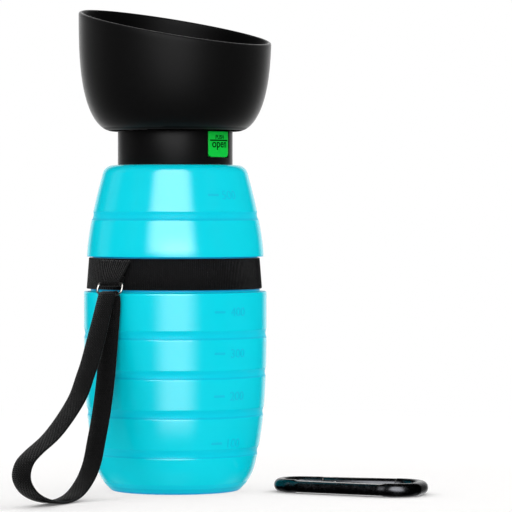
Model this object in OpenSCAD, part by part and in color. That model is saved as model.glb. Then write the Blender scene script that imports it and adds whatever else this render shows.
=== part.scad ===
// Dog travel water bottle. A soft squeeze bottle carries a screw cap with a push-button
// slide valve and a drinking bowl that turns down over the cap. A wrist strap hangs from
// a ring on the elastic band, and a carabiner lies beside it.
// The origin is the middle of the base, +Z is up and +X faces the open button.

/* [Barrel] */
// Radius of the flat base
base_r = 28; // [24:0.5:29]
// Radius of the barrel where it is widest
body_r = 42.1; // [41:0.1:44]
// How far the barrel draws in towards the floor
barrel_draw = 9.6; // [7:0.1:10.5]
// Height of the barrel up to the band's recess
barrel_h = 91.5; // [90:0.5:100]
// Rounding where the base meets the barrel
foot_round = 4.5; // [3:0.5:6]
// Wall of the soft bottle
wall = 2; // [1.6:0.1:2.6]
// Thickness of the base
base_t = 2.6; // [2:0.1:4]

/* [Squeeze grooves] */
// Number of grooves round the barrel
groove_count = 4; // [2:1:4]
// Height of the lowest groove
groove_first = 18.7; // [14:0.1:20]
// Distance from groove to groove
groove_pitch = 17.9; // [14:0.1:18.5]
// Width of a groove
groove_w = 4; // [2.5:0.1:5]
// Depth of a groove
groove_d = 0.7; // [0.5:0.1:1.2]
// Slope at each side of a groove
groove_ease = 1.2; // [0.3:0.1:1.6]

/* [Shoulder] */
// Radius of the shoulder's lower edge
shoulder_r = 40.7; // [40.2:0.1:42]
// Radius where the shoulder turns in to its flat top
shoulder_top_r = 33.3; // [33:0.1:36]
// Height of the shoulder, from the band's recess to its flat top
shoulder_h = 42; // [38:0.5:46]
// Rounding of the shoulder's upper corner
shoulder_corner = 5; // [3:0.5:6]
// Height of the shoulder's groove above its lower edge
shoulder_groove = 18.6; // [12:0.1:22]

/* [Band] */
// Height of the recess that holds the band
recess_h = 16; // [15.6:0.1:19]
// Width of the elastic band
band_w = 14.2; // [12:0.5:15.2]
// Thickness of the elastic band
band_t = 1.5; // [1.2:0.1:1.8]
// How far the band's upper edge lies inside the shoulder's lower edge
band_top_in = 1.4; // [1.1:0.1:1.9]
// How far the band's lower edge lies inside the barrel
band_low_in = 1.7; // [1.3:0.1:2.1]

/* [Cap] */
// Wall of the threaded ring
mouth_wall = 2.5; // [2:0.1:2.5]
// Depth of the threaded ring
mouth_depth = 13; // [10:0.5:16]
// Flange that holds the ring under the shoulder
mouth_flange = 3.5; // [2:0.5:4]
// Thickness of that flange
mouth_flange_t = 1.6; // [1.2:0.1:2.4]
// Outer radius of the cap
cap_r = 26.4; // [26:0.1:28]
// Height of the cap
cap_h = 15.5; // [15:0.5:18]
// Wall of the cap's shell
cap_wall = 2; // [1.5:0.1:2.4]
// Thickness of the sealing washer
gasket_t = 1.2; // [0.8:0.1:1.6]
// How far the cap's shell stands outside the bore of the threaded ring
gasket_w = 1.9; // [1.9:0.1:4]
// Room for the screw thread between the plug and the ring
thread_room = 1.3; // [0.8:0.1:1.6]
// Depth of the screwed plug below the washer
plug_depth = 11.5; // [8:0.5:12.5]

/* [Valve] */
// How far the slide moves from shut to open
valve_travel = 5.5; // [5.4:0.1:6]
// Radius of the slide
slide_r = 3.5; // [3.2:0.1:3.7]
// Radius of the water passage
passage_r = 1.6; // [1.2:0.1:1.7]
// Depth of the slide's axis below the top of the cap
slide_drop = 8.2; // [7.8:0.1:8.8]
// Radius of a seal's own cord
seal_cord_r = 0.67; // [0.5:0.01:0.7]
// Width of a button round the cap
button_w = 14.2; // [12:0.5:17]
// Height of a button
button_h = 11.7; // [10:0.1:12.5]
// Thickness of a button at its middle
button_t = 3.6; // [3:0.1:4]
// Rounding of a button's lower corners
button_round = 2; // [1:0.5:3]
// Radius of the slide's end pegs
peg_r = 2.2; // [1.6:0.1:2.4]
// Length of a peg
peg_l = 4; // [3:0.5:5]
// How far a button's hub reaches in to the slide
button_hub = 4.5; // [4:0.1:5]

/* [Dip tube] */
// Outer radius of the dip tube
tube_r = 3; // [2.6:0.1:3.2]
// Bore of the dip tube
tube_bore_r = 2.2; // [1.8:0.1:2.2]
// Gap between the tube's foot and the floor of the bottle
tube_lift = 8; // [5:1:20]
// How far the tube reaches into the plug
tube_socket = 6; // [4:0.5:8]

/* [Bowl] */
// Radius of the bowl's flat underside
bowl_foot_r = 28.5; // [28:0.1:30]
// Radius of the bowl at its rim
bowl_rim_r = 44.4; // [44:0.1:48]
// Height of the rim on the low side
rim_low_h = 38.7; // [36:0.1:44]
// Height of the rim on the high side
rim_high_h = 57.4; // [50:0.1:58]
// Wall of the bowl
bowl_wall = 2.1; // [1.8:0.1:2.4]
// Thickness of the bowl's floor
bowl_floor = 2; // [1.6:0.1:2.4]

/* [Spout] */
// Radius of the spout's head
spout_r = 5.65; // [5.2:0.05:7]
// Height of the spout's head above the bowl's floor
spout_h = 3; // [2.6:0.1:4]
// Radius of the spout's stem
stem_r = 3.9; // [3.5:0.1:4.2]
// Width of each outlet in the head
outlet_w = 3.4; // [2.6:0.1:3.6]
// Height of each outlet
outlet_h = 1.3; // [1:0.1:1.6]
// Thickness of the washer under the head
washer_t = 0.5; // [0.4:0.1:0.8]

/* [Strap ring] */
// Direction from the bottle's axis to the ring
ring_angle = -93; // [-120:1:-80]
// Thickness of the ring's wire
ring_wire_r = 0.8; // [0.6:0.1:0.9]
// Half the ring's width at the middle of its wire
ring_half_w = 7.05; // [6.5:0.05:8]
// Drop of the ring at the middle of its wire
ring_drop = 5.6; // [5.4:0.1:7]
// Bend radius of the ring's lower corners
ring_bend = 2.8; // [2.6:0.1:4]
// Bend radius of the ring's upper corners
ring_top_bend = 0.95; // [0.9:0.01:1.1]
// Height of the tab's lower end above the band's lower edge
ring_rise = 1.5; // [0.5:0.1:2]
// How far the ring leans out from the bottle
ring_lean = 20; // [18:1:30]
// Thickness of one layer of the tab's webbing
tab_t = 1.1; // [0.9:0.1:1.2]
// Width of the tab at its sewn edge
tab_top_w = 18; // [14:0.5:20]

/* [Wrist strap] */
// Width of the strap's webbing
strap_w = 10; // [8:0.5:10]
// Thickness of the strap's webbing
strap_t = 1.2; // [1:0.1:1.2]

/* [Carabiner] */
// Thickness of the carabiner's rod
rod_r = 3.1; // [2.8:0.05:3.2]
// Bend radius at the narrow end
bend_low_r = 9.2; // [8.5:0.1:10]
// Bend radius at the gate's corner
bend_gate_r = 12.4; // [12:0.1:13]
// Bend radius at the spine's corner
bend_spine_r = 8.8; // [8:0.1:9.5]
// Distance from the narrow bend's centre to the gate corner's centre
reach_gate = 44.6; // [43.5:0.1:48]
// Distance from the narrow bend's centre to the spine corner's centre
reach_spine = 48.6; // [47:0.1:52]
// Length of the gate from its pin to its tip
gate_l = 31; // [28:0.5:32]
// Radius of the gate's pin
gate_pin_r = 0.9; // [0.7:0.05:1]
// Half the thickness of the spine's flat panel
panel_half = 2.5; // [2.2:0.1:2.7]
// Bore in the gate for its plunger and spring
gate_bore_r = 1.9; // [1.7:0.1:2]
// Number of turns of the gate's spring
spring_turns = 9; // [6:1:10]
// Radius of the spring's wire
spring_wire_r = 0.25; // [0.2:0.01:0.3]

/* [Hidden] */
$fn = 96;
slide_gap = 0.05;
seat_gap = 0.2;
loose_gap = 0.3;
snug = 0.02;
// how far a cutting shape runs past what it cuts
past = 2;

// heights of the main levels
recess_z = barrel_h;
shoulder_z = barrel_h + recess_h;
body_top = shoulder_z + shoulder_h;
cap_top = body_top + cap_h;
bowl_floor_z = cap_top + bowl_floor;
slide_z = cap_top - slide_drop;
band_z = recess_z + (recess_h - band_w) / 2;
band_top_r = shoulder_r - band_top_in;
band_low_r = body_r - band_low_in;
mouth_r = cap_r - cap_wall - gasket_w;
band_top = band_z + band_w;

// the barrel and the shoulder as smooth curves of the height
barrel_curve = 3.4;
shoulder_curve = 1.44;
corner_start = 15;
foot_steps = 5;
edge = 0.8;
function barrel_r(z) = body_r - barrel_draw * pow(1 - z / barrel_h, barrel_curve);
shoulder_run = shoulder_h - shoulder_corner * (1 - sin(corner_start));
function shoulder_at(t) =
    shoulder_r - (shoulder_r - shoulder_top_r) * pow(t / shoulder_run, shoulder_curve);
function band_slope(z) = band_low_r + (band_top_r - band_low_r) * (z - band_z) / band_w;
function seat_at(z) = band_slope(z) - band_t - snug;
function arc(x, z, r, from, to, steps = 5) =
    [for (i = [0:steps]) let (a = from + (to - from) * i / steps) [x + r * cos(a), z + r * sin(a)]];

foot_points =
    [for (i = [0:foot_steps]) let (t = 90 * i / foot_steps)
        [base_r + (barrel_r(foot_round) - base_r) * sin(t), foot_round * (1 - cos(t))]];
function climb(z0, z1) = [for (i = [1:3]) let (z = z0 + (z1 - z0) * i / 3) [barrel_r(z), z]];
function groove_points(z, r) = [
    [r - groove_d, z - groove_w / 2 + groove_ease],
    [r - groove_d, z + groove_w / 2 - groove_ease]];
function groove_z(i) = groove_first + i * groove_pitch;
barrel_points = [for (i = [0:groove_count]) each concat(
    i == 0 ? [] : [[barrel_r(groove_z(i - 1) + groove_w / 2), groove_z(i - 1) + groove_w / 2]],
    climb(i == 0 ? foot_round : groove_z(i - 1) + groove_w / 2,
        i == groove_count ? barrel_h - edge : groove_z(i) - groove_w / 2),
    i == groove_count ? [] : groove_points(groove_z(i), barrel_r(groove_z(i))))];
function rise(t0, t1) = [for (i = [0:4]) let (t = t0 + (t1 - t0) * i / 4)
    [shoulder_at(t), shoulder_z + t]];
shoulder_points = concat(
    rise(edge, shoulder_groove - groove_w / 2),
    groove_points(shoulder_z + shoulder_groove, shoulder_at(shoulder_groove)),
    rise(shoulder_groove + groove_w / 2, shoulder_run),
    arc(shoulder_top_r - shoulder_corner * cos(corner_start), body_top - shoulder_corner,
        shoulder_corner, corner_start + 15, 90));
mouth_out_r = mouth_r + mouth_wall;
outer_points = concat([[0, 0]], foot_points, barrel_points,
    [[body_r - edge, barrel_h], [seat_at(recess_z), recess_z], [seat_at(shoulder_z), shoulder_z],
        [shoulder_r - edge, shoulder_z]],
    shoulder_points, [[mouth_out_r, body_top], [mouth_out_r, body_top - wall]]);
inner_shoulder = [for (i = [5:-1:1]) let (t = wall + (shoulder_run - wall) * i / 5)
    [shoulder_at(t) - wall, shoulder_z + t]];
inner_barrel = [for (i = [8:-1:1]) let (z = foot_round + (barrel_h - wall - foot_round) * i / 8)
    [barrel_r(z) - wall - (i < 8 ? groove_d * 0.5 : 0), z]];
inner_points = concat(
    arc(shoulder_top_r - shoulder_corner * cos(corner_start), body_top - shoulder_corner,
        shoulder_corner - wall, 90, corner_start, 3),
    inner_shoulder,
    [[shoulder_at(wall) - wall, shoulder_z + wall], [seat_at(shoulder_z) - wall, shoulder_z + wall],
        [seat_at(recess_z) - wall, recess_z - wall], [barrel_r(recess_z - wall) - wall, recess_z - wall]],
    [for (p = inner_barrel) if (p[1] < recess_z - wall - 0.01) p],
    [[base_r, base_t], [0, base_t]]);

module silicone_bottle() {
    color("deepskyblue")
        rotate_extrude() polygon(concat(outer_points, inner_points));
}

module mouth_ring() {
    flange_z = body_top - wall - mouth_flange_t;
    color("white")
        rotate_extrude() polygon([
            [mouth_r, body_top - mouth_depth], [mouth_out_r - snug, body_top - mouth_depth],
            [mouth_out_r - snug, flange_z], [mouth_out_r + mouth_flange, flange_z],
            [mouth_out_r + mouth_flange, flange_z + mouth_flange_t - snug],
            [mouth_out_r - snug, flange_z + mouth_flange_t - snug],
            [mouth_out_r - snug, body_top], [mouth_r, body_top]]);
}

module elastic_band() {
    color([0.07, 0.07, 0.08])
        rotate_extrude() polygon([
            [band_low_r - band_t, band_z], [band_low_r, band_z],
            [band_top_r, band_top], [band_top_r - band_t, band_top]]);
}

// the strap ring hangs from a tab that is sewn to the band's upper edge
tab_loop_r = ring_wire_r + slide_gap + tab_t;
ring_x = band_low_r + 2 * loose_gap + tab_loop_r;
ring_z = band_z + tab_loop_r + ring_rise;
ring_bar_half = ring_half_w - ring_top_bend;
sew_in = 0.6;
loop_from = 12;
loop_to = -190;
tab_low_w = 2 * ring_bar_half - 2 * loose_gap;

module ring_tab() {
    sew_z = band_top - sew_in;
    color([0.1, 0.1, 0.11])
        rotate([0, 0, ring_angle])
        difference() {
            intersection() {
                rotate([90, 0, 0]) linear_extrude(tab_top_w + 2, center = true)
                    polygon(concat(
                        [[band_top_r - 2, sew_z], [band_top_r + 2 * tab_t, sew_z]],
                        arc(ring_x, ring_z, tab_loop_r, loop_from, loop_to, 12)));
                rotate([90, 0, 90]) linear_extrude(ring_x + tab_loop_r + 1)
                    polygon([
                        [-tab_low_w / 2, ring_z - tab_loop_r], [tab_low_w / 2, ring_z - tab_loop_r],
                        [tab_low_w / 2, ring_z], [tab_top_w / 2, sew_z],
                        [-tab_top_w / 2, sew_z], [-tab_low_w / 2, ring_z]]);
            }
            translate([ring_x, 0, ring_z]) rotate([90, 0, 0])
                cylinder(r = ring_wire_r + slide_gap, h = tab_top_w + 2, center = true);
            rotate_extrude() polygon([
                [0, band_z - past], [band_slope(band_z - past) + snug, band_z - past],
                [band_slope(band_top + past) + snug, band_top + past], [0, band_top + past]]);
        }
}

module bend(x, y, radius, wire, from, sweep) {
    translate([x, y, 0]) rotate([0, 0, from])
        rotate_extrude(angle = sweep) translate([radius, 0]) circle(wire);
}

module rod(x0, y0, x1, y1, wire) {
    translate([x0, y0, 0]) rotate([0, 0, atan2(y1 - y0, x1 - x0)]) rotate([0, 90, 0])
        cylinder(r = wire, h = norm([x1 - x0, y1 - y0]));
}

module d_ring() {
    low_x = ring_half_w - ring_bend;
    low_y = -ring_drop + ring_bend;
    color("silver")
        rotate([0, 0, ring_angle]) translate([ring_x, 0, ring_z]) rotate([0, -ring_lean, 0])
        rotate([90, 0, 90]) {
            rod(-ring_bar_half, 0, ring_bar_half, 0, ring_wire_r);
            rod(-low_x, -ring_drop, low_x, -ring_drop, ring_wire_r);
            for (side = [0, 1]) mirror([side, 0, 0]) {
                bend(ring_bar_half, -ring_top_bend, ring_top_bend, ring_wire_r, 0, 90);
                rod(ring_half_w, low_y, ring_half_w, -ring_top_bend, ring_wire_r);
                bend(low_x, low_y, ring_bend, ring_wire_r, -90, 90);
            }
        }
}

// The strap is a closed loop. Each point of its route holds the distance out from the
// ring, the distance sideways and the height; the upper ones are measured from the ring.
loop_angle = -80;
loop_turn_high = -4;
loop_turn_low = 4;
loop_turn_run = 26;
hold_x = ring_x + ring_drop * sin(ring_lean);
hold_z = ring_z - ring_drop * cos(ring_lean);
fold = ring_wire_r + 2 * loose_gap + strap_t / 2;
back = fold - loose_gap;
high_points = [[0, 0, fold], [fold, 0, 0.4], [2.2, 0, -3.5], [7.5, -0.3, -12]];
floor_points = [[13.2, -0.6, 63], [18.7, -0.6, 55], [25.6, -0.4, 46.5], [36.6, 0, 38], [49.4, 0, 30],
    [63.8, 0, 24], [71, 0, 20], [73.8, 0, 15], [72, 0, 10.5], [66, 0, 6], [56, 0, 2.6],
    [43.4, 0, 0.9], [31, 0, 2.6], [21.4, 0, 8], [14.7, 0, 15.5], [10.6, 0, 25.5], [6.8, 0.4, 38],
    [3, 0.9, 53], [0, 1.2, 68]];
last_points = [[-back, 0.8, -6], [-fold, 0.2, -0.4]];
lowest = 0.9;
floor_gap = 0.05;
route = concat(
    [for (p = high_points) [p[0], p[1], hold_z + p[2]]],
    [for (p = floor_points) [p[0], p[1], p[2] - lowest + strap_t / 2 + floor_gap]],
    [for (p = last_points) [p[0], p[1], hold_z + p[2]]]);
function wrap(i, n) = (i + n) % n;
function smooth(a, b, c, d, t) = 0.5 * (2 * b + (c - a) * t
    + (2 * a - 5 * b + 4 * c - d) * t * t + (3 * b - a - 3 * c + d) * t * t * t);
function along(path, steps) = let (n = len(path)) [for (i = [0:n - 1], k = [0:steps - 1])
    smooth(path[wrap(i - 1, n)], path[i], path[wrap(i + 1, n)], path[wrap(i + 2, n)], k / steps)];
hold_point = [hold_x * cos(ring_angle), hold_x * sin(ring_angle), 0];
function placed(p) = let (out = [cos(loop_angle), sin(loop_angle), 0], side = [-out[1], out[0], 0])
    hold_point + p[0] * out + p[1] * side + [0, 0, p[2]];
function turn_at(z) = let (t = min(1, max(0, (hold_z - z) / loop_turn_run)))
    loop_turn_high + (loop_turn_low - loop_turn_high) * t * t * (3 - 2 * t);
function unit(v) = v / norm(v);

module wrist_strap() {
    path = [for (p = along(route, 3)) placed(p)];
    n = len(path);
    corners = [for (i = [0:n - 1])
        let (
            heading = unit(path[wrap(i + 1, n)] - path[wrap(i - 1, n)]),
            turn = turn_at(path[i][2]),
            across = [cos(turn), sin(turn), 0],
            thick = unit(cross(heading, across)),
            flat = unit(cross(thick, heading)))
        each [for (s = [[-1, -1], [1, -1], [1, 1], [-1, 1]])
            path[i] + flat * s[0] * strap_w / 2 + thick * s[1] * strap_t / 2]];
    color([0.1, 0.1, 0.11])
        polyhedron(corners, [for (i = [0:n - 1], k = [0:3]) let (
            a = i * 4 + k,
            b = i * 4 + (k + 1) % 4,
            c = wrap(i + 1, n) * 4 + (k + 1) % 4,
            d = wrap(i + 1, n) * 4 + k) each [[a, c, b], [a, d, c]]]);
}

// the cap and its valve
gasket_z = body_top + seat_gap;
plug_z = gasket_z + gasket_t + 2 * slide_gap;
plug_r = mouth_r - thread_room;
inner_cap_r = cap_r - cap_wall;
block_top = cap_top - cap_wall;
button_face = cap_r - button_t;
pocket_x = button_face - valve_travel - loose_gap;
button_top = cap_top - loose_gap;
button_low = button_top - button_h;
// the seat cut for the spout's stem reaches this far into the slide's bore
seat_in = 0.5;

module cap_gasket() {
    color([0.2, 0.2, 0.2])
        translate([0, 0, gasket_z]) difference() {
            cylinder(r = inner_cap_r - loose_gap, h = gasket_t);
            translate([0, 0, -1]) cylinder(r = plug_r + slide_gap, h = gasket_t + 2);
        }
}

module button_pocket(side) {
    gap = loose_gap;
    wide = button_w + 2 * gap;
    translate([side > 0 ? pocket_x : -pocket_x - cap_r, -wide / 2, button_low - gap])
        cube([cap_r, wide, button_h + gap + 2]);
}

module cap_shell() {
    color([0.09, 0.09, 0.1])
        difference() {
            translate([0, 0, body_top + seat_gap]) cylinder(r = cap_r, h = cap_h - seat_gap);
            translate([0, 0, body_top - 1]) cylinder(r = inner_cap_r, h = cap_h + 1 - cap_wall);
            cylinder(r = stem_r + slide_gap, h = cap_top + 1);
            for (side = [-1, 1]) button_pocket(side);
        }
}

module valve_block() {
    color([0.75, 0.77, 0.78])
        difference() {
            union() {
                translate([0, 0, plug_z - gasket_t - plug_depth])
                    cylinder(r = plug_r, h = plug_depth + gasket_t);
                translate([0, 0, plug_z])
                    cylinder(r = inner_cap_r - snug, h = block_top - snug - plug_z);
            }
            for (side = [-1, 1]) button_pocket(side);
            translate([0, 0, slide_z]) rotate([0, 90, 0])
                cylinder(r = slide_r + slide_gap, h = 3 * cap_r, center = true);
            translate([0, 0, slide_z + slide_r - seat_in]) cylinder(r = stem_r + slide_gap, h = cap_h);
            translate([0, 0, plug_z - plug_depth]) cylinder(r = passage_r, h = cap_h + plug_depth);
            translate([0, 0, plug_z - gasket_t - plug_depth - 1])
                cylinder(r = tube_r + slide_gap, h = tube_socket + 1);
        }
}

module dip_tube() {
    top = plug_z - gasket_t - plug_depth + tube_socket - seat_gap;
    low = base_t + tube_lift;
    color("white")
        difference() {
            translate([0, 0, low]) cylinder(r = tube_r, h = top - low);
            translate([0, 0, low - 1]) cylinder(r = tube_bore_r, h = top - low + 2);
        }
}

// the seals lie left, between and right of the passage and the slide's own port
seal_room = 1.5;
seal_x = [-(passage_r + seal_room), valve_travel / 2, valve_travel + passage_r + seal_room];
seal_ring_r = slide_r + slide_gap - 1.5 * snug - seal_cord_r;

module valve_slide() {
    end_x = button_face - button_hub;
    shut_x = end_x - valve_travel;
    color("gainsboro")
        difference() {
            translate([0, 0, slide_z]) rotate([0, 90, 0]) {
                translate([0, 0, -shut_x]) cylinder(r = slide_r, h = end_x + shut_x);
                translate([0, 0, -shut_x - peg_l]) cylinder(r = peg_r, h = end_x + shut_x + 2 * peg_l);
            }
            translate([valve_travel, 0, slide_z - 2 * slide_r]) cylinder(r = passage_r, h = 4 * slide_r);
            for (x = seal_x) translate([x, 0, slide_z]) rotate([0, 90, 0]) difference() {
                cylinder(r = slide_r + 1, h = 2 * (seal_cord_r + slide_gap), center = true);
                cylinder(r = seal_ring_r - seal_cord_r - snug / 2, h = 2 * past, center = true);
            }
        }
}

module slide_seals() {
    color([0.15, 0.15, 0.15])
        for (x = seal_x) translate([x, 0, slide_z]) rotate([0, 90, 0])
            rotate_extrude() translate([seal_ring_r, 0]) circle(seal_cord_r, $fn = 24);
}

module button(side) {
    shift = side > 0 ? 0 : valve_travel;
    hub_l = button_hub - snug;
    translate([-side * shift, 0, 0])
        difference() {
            union() {
                intersection() {
                    cylinder(r = cap_r, h = cap_top);
                    translate([side * button_face, 0, 0]) rotate([90, 0, 90])
                        linear_extrude(2 * button_t, center = true)
                        polygon(concat(
                            arc(button_w / 2 - button_round, button_low + button_round,
                                button_round, -90, 0),
                            [[button_w / 2, button_top], [-button_w / 2, button_top]],
                            arc(-button_w / 2 + button_round, button_low + button_round,
                                button_round, -180, -90)));
                    translate([side > 0 ? button_face : -button_face - cap_r, -cap_r, 0])
                        cube([cap_r, 2 * cap_r, cap_top]);
                }
                translate([side > 0 ? button_face - hub_l : -button_face, 0, slide_z])
                    rotate([0, 90, 0]) cylinder(r = slide_r - 2 * slide_gap, h = hub_l);
            }
            translate([side * (button_face - hub_l - 1), 0, slide_z]) rotate([0, side * 90, 0])
                cylinder(r = peg_r + snug, h = peg_l + 1.2);
        }
}

module open_button() {
    color("limegreen") button(1);
}

module close_button() {
    color("crimson") button(-1);
}

module spout_washer() {
    color([0.25, 0.25, 0.25])
        translate([0, 0, bowl_floor_z + snug]) difference() {
            cylinder(r = spout_r - 0.5, h = washer_t);
            translate([0, 0, -1]) cylinder(r = stem_r + slide_gap, h = 3);
        }
}

module spout() {
    head_z = bowl_floor_z + washer_t + 2 * snug;
    stem_z = slide_z + slide_r + 0.8;
    color([0.08, 0.08, 0.09])
        difference() {
            union() {
                rotate_extrude() polygon(concat(
                    [[0, stem_z], [stem_r, stem_z], [stem_r, head_z], [spout_r, head_z]],
                    [for (i = [0:6]) let (a = i * 15) [spout_r * pow(cos(a), 0.45),
                        head_z + 0.5 + (spout_h - 0.5) * pow(sin(a), 1.2)]]));
            }
            translate([0, 0, stem_z - 1]) cylinder(r = passage_r, h = head_z - stem_z + 1.5);
            for (turn = [0, 90]) rotate([0, 0, turn])
                translate([-spout_r - 1, -outlet_w / 2, head_z + 0.4])
                cube([2 * spout_r + 2, outlet_w, outlet_h]);
        }
}

// the bowl's wall as a smooth curve of the height, inside and out
bowl_swell = 3.2;
bowl_corner = 2.05;
function bowl_r(h, full, r0, r1) =
    r0 + (r1 - r0) * pow(1 - pow(1 - h / full, bowl_swell), 1 / bowl_corner);
// the curve runs on a little above the rim, which is cut from it
bowl_over = 0.4;
bowl_full = rim_high_h + bowl_over;
bowl_foot_wall = 1.4;
bowl_inner_foot = bowl_foot_r - bowl_foot_wall;

module drinking_bowl() {
    steps = 18;
    tilt = atan((rim_high_h - rim_low_h) / (2 * bowl_rim_r));
    outside = [for (i = [0:steps]) let (h = bowl_full * pow(i / steps, 2))
        [bowl_r(h, bowl_full, bowl_foot_r, bowl_rim_r), cap_top + h]];
    inside = [for (i = [steps:-1:0]) let (full = bowl_full - bowl_floor, h = full * pow(i / steps, 2))
        [bowl_r(h, full, bowl_inner_foot, bowl_rim_r - bowl_wall), bowl_floor_z + h]];
    color([0.08, 0.08, 0.09])
        difference() {
            rotate_extrude() polygon(concat(
                [[stem_r + loose_gap, cap_top]], outside, inside, [[stem_r + loose_gap, bowl_floor_z]]));
            translate([0, 0, cap_top + (rim_low_h + rim_high_h) / 2]) rotate([0, tilt, 0])
                translate([-2 * bowl_rim_r, -2 * bowl_rim_r, 0])
                cube([4 * bowl_rim_r, 4 * bowl_rim_r, 2 * rim_high_h]);
        }
}

// The carabiner's centre line runs round three circles like a belt: the narrow bend, the
// spine's corner and the gate's corner. It lies flat beside the bottle.
low_centre = [0, 0];
spine_way = 7.8;
gate_side_way = -0.6;
spine_centre = reach_spine * [sin(spine_way), cos(spine_way)];
gate_centre = reach_gate * [sin(gate_side_way), cos(gate_side_way)];
function belt_angle(a, ra, b, rb) = let (v = b - a)
    atan2(v[1], v[0]) + asin((ra - rb) / norm(v)) - 90;
function on_circle(c, r, a) = c + r * [cos(a), sin(a)];
function turn_from(a, b) = (b - a + 720) % 360;
spine_a = belt_angle(low_centre, bend_low_r, spine_centre, bend_spine_r);
top_a = belt_angle(spine_centre, bend_spine_r, gate_centre, bend_gate_r);
gate_a = belt_angle(gate_centre, bend_gate_r, low_centre, bend_low_r);
gate_top = on_circle(gate_centre, bend_gate_r, gate_a);
gate_foot = on_circle(low_centre, bend_low_r, gate_a);
gate_way = unit(gate_foot - gate_top);
tip_gap = 0.4;
nose_l = 1.5;
pin_at = gate_top + gate_way * (nose_l + tip_gap + gate_l);
tongue_half = 1.1;
gate_round = rod_r + 0.05;
slot_half = tongue_half + 0.25;
foot_tongue_w = 3.2;
catch_l = 2.4;
catch_w = 2.6;
catch_in = 0.8;
catch_room = 0.4;
plunger_x = 3.3;
plunger_head = 2;
plunger_l = 5;
bore_start = 2;
bore_end = 6;
coil_r = gate_bore_r - spring_wire_r - loose_gap;
lie_at = [51.54, 27.78];
lie_turn = -72;

module carabiner_place() {
    translate([lie_at[0], lie_at[1], rod_r]) rotate([0, 0, lie_turn]) children();
}

module gate_frame() {
    translate([pin_at[0], pin_at[1], 0])
        rotate([0, 0, atan2(-gate_way[1], -gate_way[0])]) children();
}

// the rod is swept along the belt line; between the spine's ends its section is flattened
rod_sides = 16;
panel_swell = 0.45;
function bend_points(c, r, a, b, steps) =
    [for (i = [0:steps]) [on_circle(c, r, a + turn_from(a, b) * i / steps), 0]];
function rod_section(flat) = let (r = rod_r + panel_swell * flat, limit = flat > 0 ? panel_half : rod_r)
    [for (k = [0:rod_sides - 1]) let (a = 360 * k / rod_sides)
        [r * cos(a), max(-limit, min(limit, r * sin(a)))]];
spine_low = on_circle(low_centre, bend_low_r, spine_a);
spine_high = on_circle(spine_centre, bend_spine_r, spine_a);
foot_gap = gate_round + loose_gap;
rod_line = concat(
    [[pin_at + gate_way * foot_gap, 0]],
    bend_points(low_centre, bend_low_r, gate_a, spine_a, 14),
    [for (t = [0.02, 0.06, 0.35, 0.65, 0.94, 0.98])
        [spine_low + (spine_high - spine_low) * t, t > 0.03 && t < 0.97 ? 1 : 0]],
    bend_points(spine_centre, bend_spine_r, spine_a, top_a, 8),
    bend_points(gate_centre, bend_gate_r, top_a, gate_a, 9),
    [[gate_top + gate_way * nose_l, 0]]);

module carabiner_rod() {
    n = len(rod_line);
    corners = [for (i = [0:n - 1])
        let (heading = unit(rod_line[min(i + 1, n - 1)][0] - rod_line[max(i - 1, 0)][0]))
        each [for (q = rod_section(rod_line[i][1]))
            [rod_line[i][0][0] + heading[1] * q[0], rod_line[i][0][1] - heading[0] * q[0], q[1]]]];
    polyhedron(corners, concat(
        [[for (k = [rod_sides - 1:-1:0]) k]],
        [for (i = [0:n - 2], k = [0:rod_sides - 1]) let (
            a = i * rod_sides + k,
            b = i * rod_sides + (k + 1) % rod_sides)
            each [[a, b, b + rod_sides], [a, b + rod_sides, a + rod_sides]]],
        [[for (k = [0:rod_sides - 1]) (n - 1) * rod_sides + k]]));
}

module carabiner_body() {
    tongue = 2 * tongue_half;
    color([0.12, 0.12, 0.13])
        carabiner_place() {
            carabiner_rod();
            gate_frame() {
                difference() {
                    translate([-foot_gap - 1, -foot_tongue_w / 2, -tongue_half])
                        cube([foot_gap + 3, foot_tongue_w, tongue]);
                    cylinder(r = gate_pin_r + slide_gap, h = 3 * rod_r, center = true);
                }
                translate([gate_l - catch_l, -catch_in, -tongue_half])
                    cube([catch_l + tip_gap + 0.5, catch_w, tongue]);
            }
        }
}

module carabiner_gate() {
    color([0.16, 0.16, 0.17])
        carabiner_place() gate_frame() difference() {
            intersection() {
                translate([-gate_round, 0, 0]) rotate([0, 90, 0])
                    cylinder(r = rod_r - 0.1, h = gate_round + gate_l);
                union() {
                    cylinder(r = gate_round, h = 3 * rod_r, center = true);
                    translate([0, -rod_r, -rod_r]) cube([gate_l, 2 * rod_r, 2 * rod_r]);
                }
            }
            translate([-gate_round - 1, -rod_r - 1, -slot_half])
                cube([gate_round + 1 + plunger_x - 0.1, 2 * rod_r + 2, 2 * slot_half]);
            translate([gate_l - catch_l - catch_room, -catch_in - catch_room, -slot_half])
                cube([catch_l + catch_room + 1, rod_r + past, 2 * slot_half]);
            translate([bore_start, 0, 0]) rotate([0, 90, 0])
                cylinder(r = gate_bore_r, h = gate_l - bore_end - bore_start);
            cylinder(r = gate_pin_r + slide_gap, h = 3 * rod_r, center = true);
        }
}

module gate_pin() {
    color("silver") carabiner_place() gate_frame()
        cylinder(r = gate_pin_r, h = 2 * (rod_r - 0.5), center = true);
}

module gate_plunger() {
    color("silver") carabiner_place() gate_frame()
        translate([plunger_x, 0, 0]) rotate([0, 90, 0]) {
            cylinder(r = gate_bore_r - 3 * slide_gap, h = plunger_head);
            cylinder(r = coil_r - spring_wire_r - seat_gap, h = plunger_l);
        }
}

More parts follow.
